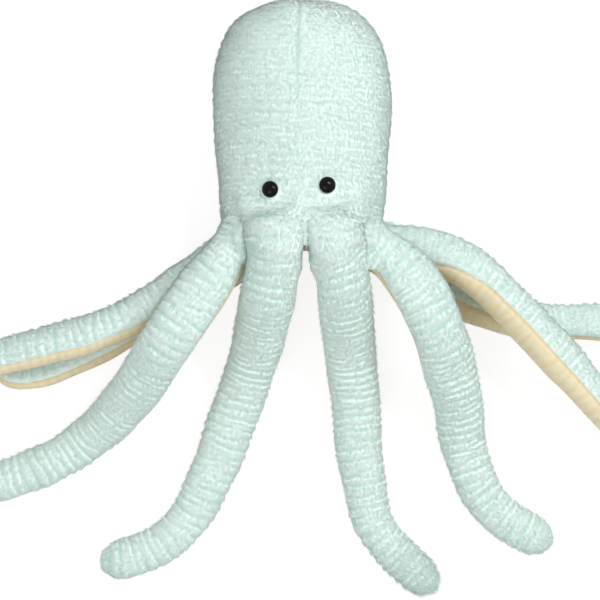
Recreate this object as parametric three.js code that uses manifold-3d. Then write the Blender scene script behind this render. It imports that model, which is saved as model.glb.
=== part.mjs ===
// A plush octopus pillow lying on its back, with its eight tentacles spread over the surface.
// Millimetres. Y runs from the base of the head to its crown, Z up, X across the face.
// The origin is the middle of the flattened patch that the back of the head rests on.

import * as THREE from 'three';
import { ConvexGeometry } from 'three/addons/geometries/ConvexGeometry.js';
import { mergeVertices } from 'three/addons/utils/BufferGeometryUtils.js';
import Module from 'manifold-3d';

const wasm = await Module();
wasm.setup();

// Driving sizes of the head
const headLength = 272;
const headWidth = 195;
const headThick = 156;
const restCut = 0.5;
const coverWall = 3;
const seamGap = 0.3;
const fillingGap = 0.7;
const basePanelThick = 3;
const faceTurn = -3;

// Driving sizes of the ring that the tentacles are sewn to
const ringHalfWidth = 82;
const ringHalfDepth = 60;
const ringShift = 3;
const ringHeight = 88;
const ringInset = 0;
const rearInset = 18;

// Driving sizes of the tentacles
const limbLength = 460;
const limbWidth = 56;
const limbThick = 42;
const rootRadius = 23;
const rearRootRadius = 17.5;
const swellLength = 62;
const tipLength = 30;
const floorGap = 0.3;
const socketGap = 0.5;
const neckLength = 74;

// Driving sizes of the safety eyes
const eyeDiameter = 18;
const eyeHeight = 8;
const eyePostDiameter = 5;
const eyeWasherDiameter = 14;
const eyeWasherThick = 1.6;
const eyePostTail = 3;
const eyeFit = 0.3;
const eyeBrimShare = 0.1;

// One overrun serves every cutting tool
const overrun = 40;

// Counts of rings and sides
const gorePanelSides = 7;
const backPanelSides = 13;
const shellSides = 7;
const fillingSides = 7;
const limbRings = 9;
const routeSteps = 240;
const roundSides = 20;
const basePanelSides = 40;
const domePoints = 5;

// The head's half width along its length, from the crown to the base
const headWidthShares = [
  [0, 0], [0.012, 0.3], [0.05, 0.6], [0.1, 0.77], [0.17, 0.895], [0.25, 0.965], [0.34, 1],
  [0.46, 1], [0.6, 0.975], [0.725, 0.945], [0.82, 0.93], [0.9, 0.89], [0.96, 0.77], [1, 0.58],
];
const restShare = 0.4;
const eyeShare = 0.7725;
const eyeTiltShare = 0.008;
const eyeFacet = 1.5;
const axisRiseShare = 0.82;

// The tentacles' width along their length, from the root to the tip
const limbTaperShares = [
  [0, 1.06], [0.12, 1.06], [0.3, 1], [0.5, 0.97], [0.66, 0.88], [0.8, 0.81], [1, 0.8],
];
const ballRingShares = [-0.82, -0.4];
const tipRingShares = [0.5, 0.87];

// Each tentacle: its azimuth on the ring, the side it leans to, and, at shares of its length,
// its heading in degrees, how high it is lifted in limb widths, and its roll in degrees,
// where 0 lays the cream underside flat down and 90 turns the seam up.
const limbs = [
  {
    name: 'tentacle_1', azimuth: -65, side: -1, lowered: false, lifts: true, swing: 18,
    lengthShare: 1, widthShare: 1, plumpShare: 1,
    bendShares: [[0, -130], [0.12, -126], [0.25, -124], [0.5, -130], [0.62, -139], [0.7, -145],
      [0.82, -158], [1, -172]],
    liftShares: [[0.12, 1.71], [0.27, 1.72], [0.4, 1.12], [0.55, 0.4], [0.69, 0], [1, 0]],
    rollShares: [[0, 35], [0.2, 12], [0.4, 0], [1, 0]],
  },
  {
    name: 'tentacle_2', azimuth: -22.5, side: -1, lowered: false, lifts: true, swing: 25,
    lengthShare: 1.04, widthShare: 1, plumpShare: 1,
    bendShares: [[0, -97], [0.12, -101], [0.25, -105], [0.4, -108], [0.55, -111], [0.68, -115],
      [0.76, -126], [0.83, -143], [0.91, -162], [1, -180]],
    liftShares: [[0.1, 1.8], [0.25, 0.95], [0.38, 0.3], [0.5, 0], [1, 0]],
    rollShares: [[0, 12], [0.3, 0], [1, 0]],
  },
  {
    name: 'tentacle_3', azimuth: 22.5, side: 1, lowered: false, lifts: true, swing: 25,
    lengthShare: 1, widthShare: 1, plumpShare: 1,
    bendShares: [[0, -77], [0.12, -79.5], [0.25, -82.5], [0.5, -84], [0.66, -82], [0.74, -74], [0.8, -58],
      [0.86, -47], [1, -43]],
    liftShares: [[0.1, 1.8], [0.25, 0.95], [0.38, 0.3], [0.5, 0], [1, 0]],
    rollShares: [[0, 12], [0.3, 0], [1, 0]],
  },
  {
    name: 'tentacle_4', azimuth: 65, side: 1, lowered: false, lifts: true, swing: 20,
    lengthShare: 0.96, widthShare: 1, plumpShare: 1,
    bendShares: [[0, -27], [0.1, -49], [0.2, -64], [0.35, -70], [0.45, -75], [0.58, -78], [0.66, -76],
      [0.73, -69], [0.79, -54], [0.87, -34], [1, -20]],
    liftShares: [[0.12, 1.65], [0.27, 1.5], [0.4, 0.95], [0.55, 0.3], [0.66, 0], [1, 0]],
    rollShares: [[0, 35], [0.2, 12], [0.4, 0], [1, 0]],
  },
  {
    name: 'tentacle_5', azimuth: -115, side: -1, lowered: false, lifts: false, swing: 12,
    lengthShare: 1, widthShare: 0.85, plumpShare: 1,
    bendShares: [[0, -144], [0.15, -146], [0.3, -152], [0.42, -163], [0.6, -165], [1, -167]],
    liftShares: [[0.12, 0.66], [0.25, 0.68], [0.38, 0.78], [0.66, 0.8], [0.8, 0.42], [0.93, 0], [1, 0]],
    rollShares: [[0, 60], [0.2, 78], [0.35, 84], [1, 84]],
  },
  {
    name: 'tentacle_6', azimuth: -155, side: -1, lowered: true, lifts: false, swing: 8,
    lengthShare: 0.78, widthShare: 1, plumpShare: 0.82,
    bendShares: [[0, -150], [0.25, -148], [0.55, -147], [0.7, -151], [0.83, -160], [0.92, -178], [1, -190]],
    liftShares: [[1, 0]],
    rollShares: [[0, 0], [0.3, 5], [0.6, 25], [1, 40]],
  },
  {
    name: 'tentacle_7', azimuth: 115, side: 1, lowered: false, lifts: false, swing: 10,
    lengthShare: 1, widthShare: 0.88, plumpShare: 1.1,
    bendShares: [[0, 2], [0.1, -7], [0.18, -22], [0.26, -37], [0.42, -46], [0.6, -48], [0.8, -48],
      [1, -54]],
    liftShares: [[0.12, 0.72], [0.22, 0.87], [0.36, 0.93], [0.62, 0.95], [0.74, 0.84], [0.84, 0.35],
      [0.93, 0], [1, 0]],
    rollShares: [[0, 60], [0.2, 80], [0.35, 82], [1, 82]],
  },
  {
    name: 'tentacle_8', azimuth: 155, side: 1, lowered: true, lifts: false, swing: 8,
    lengthShare: 0.78, widthShare: 1, plumpShare: 0.9,
    bendShares: [[0, -10], [0.1, -18], [0.22, -34], [0.42, -31], [0.55, -20], [0.68, -8], [0.85, 0],
      [1, 6]],
    liftShares: [[1, 0]],
    rollShares: [[0, 0], [0.25, 12], [0.5, 52], [0.7, 50], [1, 40]],
  },
];

// Materials
const mintPlush = new THREE.MeshStandardMaterial({ color: 0xc8ded5, roughness: 0.95, metalness: 0 });
const creamPlush = new THREE.MeshStandardMaterial({ color: 0xd4c6aa, roughness: 0.95, metalness: 0 });
const fibreFilling = new THREE.MeshStandardMaterial({ color: 0xf2f2ee, roughness: 1, metalness: 0 });
const eyePlastic = new THREE.MeshStandardMaterial({ color: 0x0b0b0c, roughness: 0.12, metalness: 0 });
const washerPlastic = new THREE.MeshStandardMaterial({ color: 0xe6e6e2, roughness: 0.5, metalness: 0 });

const restLevel = headThick / 2 - restCut;
const crownLevel = headLength * restShare;
const baseLevel = crownLevel - headLength;
const depthShare = headThick / headWidth;

// A smooth curve through a table of [share, value] rows
function curveThrough(table) {
  const shares = table.map((row) => row[0]);
  const values = table.map((row) => row[1]);
  const curve = new THREE.CubicInterpolant(shares, values, 1, [0]);
  return (share) => curve.evaluate(THREE.MathUtils.clamp(share, 0, 1))[0];
}

// Collects triangles on shared points, and turns them to face out
class Facets {
  constructor() {
    this.points = new Map();
    this.triangles = [];
  }

  index(point) {
    if (!this.points.has(point)) this.points.set(point, this.points.size);
    return this.points.get(point);
  }

  triangle(a, b, c) {
    if (a !== b && b !== c && c !== a) this.triangles.push([a, b, c]);
  }

  quad(a, b, c, d) {
    this.triangle(a, b, c);
    this.triangle(a, c, d);
  }

  geometry() {
    const faces = this.triangles.map((corners) => corners.map((point) => this.index(point)));
    const volume = this.triangles.reduce((sum, [a, b, c]) => sum + a.dot(b.clone().cross(c)), 0);
    if (volume < 0) faces.forEach((face) => face.reverse());
    const places = [...this.points.keys()].flatMap((point) => point.toArray());
    const geometry = new THREE.BufferGeometry();
    geometry.setAttribute('position', new THREE.Float32BufferAttribute(places, 3));
    geometry.setIndex(faces.flat());
    return geometry;
  }
}

// An open shell between an outer and an inner skin, each a list of rings of points.
// A ring whose points are all one point closes the shell there; the last ring may stay open.
function shellBetween(outer, inner) {
  const facets = new Facets();
  const last = outer[0].length - 1;
  for (let i = 0; i < outer.length - 1; i += 1) {
    for (let j = 0; j < last; j += 1) {
      facets.quad(outer[i][j], outer[i + 1][j], outer[i + 1][j + 1], outer[i][j + 1]);
      facets.quad(inner[i][j + 1], inner[i + 1][j + 1], inner[i + 1][j], inner[i][j]);
    }
    facets.quad(outer[i + 1][0], outer[i][0], inner[i][0], inner[i + 1][0]);
    facets.quad(outer[i][last], outer[i + 1][last], inner[i + 1][last], inner[i][last]);
  }
  const end = outer.length - 1;
  for (let j = 0; j < last; j += 1) {
    if (outer[end][0] === outer[end][1]) break;
    facets.quad(outer[end][j + 1], outer[end][j], inner[end][j], inner[end][j + 1]);
  }
  return facets.geometry();
}

// A solid inside rings of points that go all the way round, capped flat where a ring is open
function solidInside(rings) {
  const facets = new Facets();
  const count = rings[0].length;
  for (let i = 0; i < rings.length - 1; i += 1) {
    for (let j = 0; j < count; j += 1) {
      const k = (j + 1) % count;
      facets.quad(rings[i][j], rings[i + 1][j], rings[i + 1][k], rings[i][k]);
    }
  }
  const end = rings[rings.length - 1];
  const centre = end.reduce((sum, point) => sum.add(point), new THREE.Vector3()).divideScalar(count);
  for (let j = 0; j < count; j += 1) facets.triangle(end[j], centre, end[(j + 1) % count]);
  return facets.geometry();
}

function toSolid(source) {
  const bare = source.clone();
  bare.deleteAttribute('normal');
  bare.deleteAttribute('uv');
  const merged = mergeVertices(bare);
  const vertProperties = Float32Array.from(merged.attributes.position.array);
  const triVerts = Uint32Array.from(merged.index.array);
  const mesh = new wasm.Mesh({ numProp: 3, vertProperties, triVerts });
  mesh.merge();
  return new wasm.Manifold(mesh);
}

function toGeometry(solid) {
  const mesh = solid.getMesh();
  const geometry = new THREE.BufferGeometry();
  geometry.setAttribute('position', new THREE.BufferAttribute(mesh.vertProperties, mesh.numProp));
  geometry.setIndex(new THREE.BufferAttribute(mesh.triVerts, 1));
  return geometry;
}

function cutBy(geometry, tools) {
  const solid = tools.reduce((rest, tool) => rest.subtract(tool), toSolid(geometry));
  return toGeometry(solid);
}

// The head's profile, drawn in by an even depth: rows of distance from the crown and half width
function headProfile(inset) {
  const outline = headWidthShares.map(([share, width]) => {
    return new THREE.Vector2(headLength * share, headWidth / 2 * width);
  });
  const last = outline.length - 1;
  return outline.map((point, i) => {
    if (i === 0) return new THREE.Vector2(inset, 0);
    if (i === last) return new THREE.Vector2(point.x, point.y - inset);
    const along = outline[i + 1].clone().sub(outline[i - 1]).normalize();
    return new THREE.Vector2(point.x + along.y * inset, point.y - along.x * inset);
  });
}

// The head's axis rises toward the base, which stands on the rear tentacles
function axisHeight(fromCrown) {
  const rise = THREE.MathUtils.smoothstep(fromCrown, headLength * axisRiseShare, headLength);
  return restLevel + rise * (ringHeight - restLevel);
}

function headPoint(row, degrees) {
  const angle = THREE.MathUtils.degToRad(degrees);
  const x = row.y * Math.sin(angle);
  const z = axisHeight(row.x) + row.y * depthShare * Math.cos(angle);
  return new THREE.Vector3(x, crownLevel - row.x, z);
}

function headRings(inset, angles, shift) {
  return headProfile(inset).map((row, i) => {
    if (i > 0) return angles.map((angle) => headPoint(row, angle).add(shift));
    const pole = headPoint(row, 0).add(shift);
    return angles.map(() => pole);
  });
}

function anglesBetween(start, end, sides) {
  return Array.from({ length: sides + 1 }, (_, k) => start + (end - start) * k / sides);
}

// Three panels make the head's cover: two in front, which meet at the seam down the face, and a back
const headPanels = [
  { name: 'head_cover_front_left', start: -90, end: faceTurn, sides: gorePanelSides, x: -1, z: 1 },
  { name: 'head_cover_front_right', start: faceTurn, end: 90, sides: gorePanelSides, x: 1, z: 1 },
  { name: 'head_cover_back', start: 90, end: 270, sides: backPanelSides, x: 0, z: -1 },
];

function headPanel(panel) {
  const angles = anglesBetween(panel.start, panel.end, panel.sides);
  const shift = new THREE.Vector3(panel.x, 0, panel.z).multiplyScalar(seamGap / 2);
  return shellBetween(headRings(0, angles, shift), headRings(coverWall, angles, shift));
}

function headFilling() {
  const angles = headPanels.flatMap((panel) => anglesBetween(panel.start, panel.end, panel.sides).slice(1));
  return solidInside(headRings(coverWall + seamGap + fillingGap, angles, new THREE.Vector3()));
}

// The cream panel that closes the head between the tentacles' roots
function basePanel() {
  const radius = headProfile(0).at(-1).y;
  const disc = new THREE.CylinderGeometry(radius, radius, basePanelThick, basePanelSides);
  disc.scale(1, 1, depthShare);
  const level = baseLevel - seamGap - basePanelThick / 2;
  return disc.translate(0, level, ringHeight);
}

// The root of a tentacle: a ball seated in the head's base
function rootOf(limb) {
  const angle = THREE.MathUtils.degToRad(limb.azimuth);
  const x = ringShift + ringHalfWidth * Math.sin(angle);
  const ringZ = ringHeight + ringHalfDepth * Math.cos(angle);
  const z = limb.lowered ? rearRootRadius + floorGap : ringZ;
  return new THREE.Vector3(x, baseLevel + (limb.lowered ? rearInset : ringInset), z);
}

function radiusOf(limb) {
  return limb.lowered ? rearRootRadius : rootRadius;
}

const limbTaper = curveThrough(limbTaperShares);

// Half the width and half the thickness of a tentacle at a distance along it from its root
function limbSize(limb, along) {
  const radius = radiusOf(limb);
  const length = limbLength * limb.lengthShare;
  if (along <= 0) {
    const round = Math.sqrt(Math.max(radius * radius - along * along, 0));
    return { half: round, thick: round };
  }
  const swell = THREE.MathUtils.smoothstep(along, 0, swellLength);
  const taper = limbTaper(along / length);
  const tip = Math.max(along - (length - tipLength), 0) / tipLength;
  const rounding = Math.sqrt(Math.max(1 - tip * tip, 0));
  const wide = limbWidth / 2 * limb.widthShare * taper;
  const half = THREE.MathUtils.lerp(radius, wide, swell) * rounding;
  const plump = limbThick / 2 * limb.plumpShare * taper;
  const thick = THREE.MathUtils.lerp(radius, plump, swell) * rounding;
  return { half, thick };
}

// How high a tentacle's centre stands over the surface that its underside touches
function standing(limb, along) {
  const bare = Math.min(along, limbLength * limb.lengthShare - tipLength);
  const { half, thick } = limbSize(limb, bare);
  const roll = THREE.MathUtils.degToRad(limb.roll(along / (limbLength * limb.lengthShare)));
  return Math.hypot(half * Math.sin(roll), thick * Math.cos(roll)) + floorGap;
}

// Walks along a tentacle from its root, turning by its headings and following its heights
function routeOf(limb) {
  const length = limbLength * limb.lengthShare;
  const step = length / routeSteps;
  const root = rootOf(limb);
  const heading = curveThrough(limb.bendShares);
  const rootLift = (root.z - radiusOf(limb) - floorGap) / limbWidth;
  const lift = curveThrough([[0, rootLift], ...limb.liftShares]);
  const points = [root];
  for (let k = 1; k <= routeSteps; k += 1) {
    const before = points[k - 1];
    const share = k / routeSteps;
    const height = standing(limb, length * share) + Math.max(lift(share), 0) * limbWidth;
    const angle = THREE.MathUtils.degToRad(heading(share - 1 / (2 * routeSteps)));
    const rise = height - before.z;
    const level = Math.sqrt(Math.max(step * step - rise * rise, 0));
    const x = before.x + level * Math.cos(angle);
    points.push(new THREE.Vector3(x, before.y + level * Math.sin(angle), height));
  }
  return points;
}

// The point on a tentacle's centreline, its direction, and the way that the mint side faces
function frameAt(limb, along) {
  const length = limbLength * limb.lengthShare;
  const place = THREE.MathUtils.clamp(along / length, 0, 1) * routeSteps;
  const k = Math.min(Math.floor(place), routeSteps - 1);
  const ahead = Math.min(k + 2, routeSteps);
  const behind = Math.max(k - 1, 0);
  const direction = limb.route[ahead].clone().sub(limb.route[behind]).normalize();
  const centre = limb.route[k].clone().lerp(limb.route[k + 1], place - k);
  if (along < 0) centre.addScaledVector(direction, along);
  const outboard = new THREE.Vector3(-direction.y, direction.x, 0).multiplyScalar(limb.side).normalize();
  const upward = new THREE.Vector3().crossVectors(direction, outboard).multiplyScalar(limb.side);
  const roll = THREE.MathUtils.degToRad(limb.roll(along / length));
  const mint = upward.multiplyScalar(Math.cos(roll)).addScaledVector(outboard, Math.sin(roll));
  const across = new THREE.Vector3().crossVectors(direction, mint);
  return { centre, mint, across };
}

// Distances along a tentacle of its rings, poles first and last
function ringPlaces(limb, inset) {
  const length = limbLength * limb.lengthShare;
  const radius = radiusOf(limb);
  const ball = ballRingShares.map((share) => share * (radius - inset));
  const tip = tipRingShares.map((share) => length - tipLength + share * (tipLength - inset));
  const run = Array.from({ length: limbRings }, (_, k) => (length - tipLength) * k / (limbRings - 1));
  return [inset - radius, ...ball, ...run, ...tip, length - inset];
}

// A tentacle's section, drawn in by an even depth, at the given angles round its centreline
function limbRings3d(limb, inset, angles, lift) {
  const places = ringPlaces(limb, 0);
  return ringPlaces(limb, inset).map((along, i) => {
    const { centre, mint, across } = frameAt(limb, along);
    centre.addScaledVector(mint, lift);
    if (i === 0 || i === places.length - 1) return angles.map(() => centre);
    const size = limbSize(limb, places[i]);
    return angles.map((angle) => centre.clone()
      .addScaledVector(across, (size.half - inset) * Math.cos(angle))
      .addScaledVector(mint, (size.thick - inset) * Math.sin(angle)));
  });
}

// Half of a tentacle's cover: the mint top or the cream underside, split at the side seams
function limbCover(limb, facing) {
  const angles = anglesBetween(0, facing * Math.PI, shellSides);
  const lift = facing * seamGap / 2;
  return shellBetween(limbRings3d(limb, 0, angles, lift), limbRings3d(limb, coverWall, angles, lift));
}

function limbFilling(limb) {
  const angles = anglesBetween(0, 2 * Math.PI, fillingSides).slice(1);
  return solidInside(limbRings3d(limb, coverWall + seamGap + fillingGap, angles, 0));
}

// The four front tentacles lift at their roots about level axes. The others, which lie over or
// under one another, swing flat toward the head.
function hingeOf(limb) {
  if (!limb.lifts) return new THREE.Vector3(0, 0, limb.side);
  const far = limb.route[Math.round(routeSteps / 3)];
  const away = far.clone().sub(limb.route[0]).setZ(0).normalize();
  return new THREE.Vector3(away.y, -away.x, 0);
}

// The room that a tentacle's ball and neck take up in the head's base as it moves
function socketTool(limb) {
  const angles = anglesBetween(0, 2 * Math.PI, 2 * shellSides).slice(1);
  const reach = ringPlaces(limb, 0).filter((along) => along < neckLength).length;
  const neck = limbRings3d(limb, -socketGap, angles, 0).slice(0, reach + 1).flat();
  const root = limb.route[0];
  const axis = hingeOf(limb);
  const room = [0, 0.5, 1].flatMap((share) => {
    const angle = THREE.MathUtils.degToRad(limb.swing * share);
    return neck.map((point) => point.clone().sub(root).applyAxisAngle(axis, angle).add(root));
  });
  return toSolid(new ConvexGeometry(room));
}

// Where a safety eye sits: counted in facets from the face seam
function eyeSeat(side) {
  const span = side < 0 ? 90 + faceTurn : 90 - faceTurn;
  const width = span / gorePanelSides;
  const angle = faceTurn + side * width * eyeFacet;
  const rows = headWidthShares.map((row) => row[0]);
  const k = rows.findIndex((share) => share > eyeShare);
  const profile = headProfile(0);
  const corners = [profile[k - 1], profile[k]].map((row) => [
    headPoint(row, angle - width / 2), headPoint(row, angle + width / 2),
  ]);
  const share = (eyeShare - side * eyeTiltShare - rows[k - 1]) / (rows[k] - rows[k - 1]);
  const upper = corners[0][0].clone().lerp(corners[0][1], 0.5);
  const lower = corners[1][0].clone().lerp(corners[1][1], 0.5);
  const across = corners[0][1].clone().sub(corners[0][0]);
  const down = lower.clone().sub(upper);
  const normal = down.cross(across).normalize();
  if (normal.z < 0) normal.negate();
  const gap = new THREE.Vector3(side, 0, 1).multiplyScalar(seamGap / 2);
  return { point: upper.lerp(lower, share).add(gap), normal };
}

// Turns a piece made along Z to stand on its seat
function seated(geometry, seat) {
  const turn = new THREE.Quaternion().setFromUnitVectors(new THREE.Vector3(0, 0, 1), seat.normal);
  return geometry.applyQuaternion(turn).translate(...seat.point.toArray());
}

function upright(radius, bottom, top) {
  const rod = new THREE.CylinderGeometry(radius, radius, top - bottom, roundSides);
  return rod.rotateX(Math.PI / 2).translate(0, 0, (top + bottom) / 2);
}

const washerTop = -coverWall - eyeFit;
const washerBottom = washerTop - eyeWasherThick;
const postEnd = washerBottom - eyePostTail;

// The domed head of the eye and the post behind it, one moulding
function eye(seat) {
  const radius = eyeDiameter / 2;
  const post = eyePostDiameter / 2;
  const dome = new THREE.QuadraticBezierCurve(
    new THREE.Vector2(radius, eyeFit + eyeHeight * eyeBrimShare),
    new THREE.Vector2(radius, eyeFit + eyeHeight),
    new THREE.Vector2(0, eyeFit + eyeHeight),
  );
  const profile = [
    new THREE.Vector2(0, postEnd), new THREE.Vector2(post, postEnd), new THREE.Vector2(post, eyeFit),
    new THREE.Vector2(radius, eyeFit), ...dome.getPoints(domePoints),
  ];
  return seated(new THREE.LatheGeometry(profile, roundSides).rotateX(Math.PI / 2), seat);
}

// The washer pressed on the post behind the cover
function eyeWasher(seat) {
  const outer = eyeWasherDiameter / 2;
  const bore = eyePostDiameter / 2 + eyeFit;
  const profile = [
    new THREE.Vector2(bore, washerBottom), new THREE.Vector2(outer, washerBottom),
    new THREE.Vector2(outer, washerTop), new THREE.Vector2(bore, washerTop),
    new THREE.Vector2(bore, washerBottom),
  ];
  return seated(new THREE.LatheGeometry(profile, roundSides).rotateX(Math.PI / 2), seat);
}

function eyeHole(seat) {
  return toSolid(seated(upright(eyePostDiameter / 2 + eyeFit, washerBottom, eyeHeight), seat));
}

function eyePocket(seat) {
  const radius = eyeWasherDiameter / 2 + fillingGap;
  return toSolid(seated(upright(radius, postEnd - fillingGap, eyeHeight), seat));
}

// Everything below the surface that the pillow lies on
function floorTool() {
  const size = 2 * headLength;
  const slab = new THREE.BoxGeometry(size, size, overrun);
  return toSolid(slab.translate(0, 0, -overrun / 2));
}

const plush = new THREE.Group();

function addPiece(name, geometry, material) {
  geometry.computeVertexNormals();
  const mesh = new THREE.Mesh(geometry, material);
  mesh.name = name;
  plush.add(mesh);
}

limbs.forEach((limb) => {
  limb.roll = curveThrough(limb.rollShares);
  limb.route = routeOf(limb);
});

const sockets = limbs.map(socketTool);
const seats = { left: eyeSeat(-1), right: eyeSeat(1) };
const holes = [eyeHole(seats.left), eyeHole(seats.right)];
const pockets = [eyePocket(seats.left), eyePocket(seats.right)];

headPanels.forEach((panel) => {
  addPiece(panel.name, cutBy(headPanel(panel), [...sockets, ...holes, floorTool()]), mintPlush);
});
addPiece('head_filling', cutBy(headFilling(), [...sockets, ...pockets]), fibreFilling);
addPiece('base_panel', cutBy(basePanel(), sockets), creamPlush);

Object.entries(seats).forEach(([side, seat]) => {
  addPiece(`eye_${side}`, eye(seat), eyePlastic);
  addPiece(`eye_washer_${side}`, eyeWasher(seat), washerPlastic);
});

limbs.forEach((limb) => {
  addPiece(`${limb.name}_top`, limbCover(limb, 1), mintPlush);
  addPiece(`${limb.name}_underside`, limbCover(limb, -1), creamPlush);
  addPiece(`${limb.name}_filling`, limbFilling(limb), fibreFilling);
});

export default plush;
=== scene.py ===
# A plush octopus pillow lying on its back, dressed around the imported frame.
# The making is worked out in millimetres and turned to metres where each mesh is made.
import math
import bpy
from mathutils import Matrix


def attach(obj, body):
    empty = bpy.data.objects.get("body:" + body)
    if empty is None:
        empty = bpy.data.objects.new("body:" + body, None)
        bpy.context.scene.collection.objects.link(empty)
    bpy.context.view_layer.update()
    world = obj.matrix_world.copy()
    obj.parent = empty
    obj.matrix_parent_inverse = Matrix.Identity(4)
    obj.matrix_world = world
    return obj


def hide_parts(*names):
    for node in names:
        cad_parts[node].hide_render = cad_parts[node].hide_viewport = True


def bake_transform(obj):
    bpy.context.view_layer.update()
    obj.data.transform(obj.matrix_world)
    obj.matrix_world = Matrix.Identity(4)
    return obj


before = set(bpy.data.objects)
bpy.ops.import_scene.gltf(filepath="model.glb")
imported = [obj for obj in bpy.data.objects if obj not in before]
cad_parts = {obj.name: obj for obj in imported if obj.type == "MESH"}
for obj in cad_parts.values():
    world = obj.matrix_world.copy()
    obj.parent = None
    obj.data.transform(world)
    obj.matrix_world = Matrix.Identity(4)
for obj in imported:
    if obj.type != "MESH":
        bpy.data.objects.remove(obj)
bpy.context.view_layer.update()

from types import SimpleNamespace

import bpy
import numpy as np
from mathutils import Vector

bl_info = {
    "name": "Plush octopus pillow",
    "version": (1, 0, 0),
    "blender": (4, 5, 0),
    "location": "3D View > Sidebar > Pillow",
    "description": "Makes the fur covers, eyes and stage of a plush octopus pillow",
    "category": "Object",
}

MM = 0.001
TINY = 1e-9
FAR = 1e9

# The head, with the same sizes and shares as its CAD solids
HEAD_LENGTH = 272
HEAD_WIDTH = 195
HEAD_THICK = 156
REST_CUT = 0.5
FACE_TURN = -3
REST_SHARE = 0.4
AXIS_RISE_SHARE = 0.82
HEAD_WIDTH_SHARES = [
    (0, 0), (0.012, 0.3), (0.05, 0.6), (0.1, 0.77), (0.17, 0.895), (0.25, 0.965), (0.34, 1),
    (0.46, 1), (0.6, 0.975), (0.725, 0.945), (0.82, 0.93), (0.9, 0.89), (0.96, 0.77), (1, 0.58),
]
REST_LEVEL = HEAD_THICK / 2 - REST_CUT
CROWN_LEVEL = HEAD_LENGTH * REST_SHARE
BASE_LEVEL = CROWN_LEVEL - HEAD_LENGTH
DEPTH_SHARE = HEAD_THICK / HEAD_WIDTH
OUTLINE_STEPS = 400
OUTLINE_THINNING = 4
CLOSING_STEPS = 60
GORE_SIDES = 7
SEAM_GAP = 0.3

# The ring that the tentacles are sewn to
RING_HALF_WIDTH = 82
RING_HALF_DEPTH = 60
RING_SHIFT = 3
RING_HEIGHT = 88
REAR_INSET = 18

# The tentacles
LIMB_LENGTH = 460
LIMB_WIDTH = 56
LIMB_THICK = 42
LIMB_TAPER_SHARES = [(0, 1.06), (0.12, 1.06), (0.3, 1), (0.5, 0.97), (0.66, 0.88), (0.8, 0.81), (1, 0.8)]
ROOT_RADIUS = 23
REAR_ROOT_RADIUS = 17.5
ROOT_DIVE = 34
ROOT_SHRINK = 0.5
ROOT_CLOSE_SHARE = 0.7
SWELL_LENGTH = 62
TIP_LENGTH = 30
FLOOR_GAP = 0.3
ROUTE_STEPS = 240
START_STEPS = 3
EXTENSION_STEPS = 24
TANGENT_SMOOTHING = 2
LOCATE_STEP = 4

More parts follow.
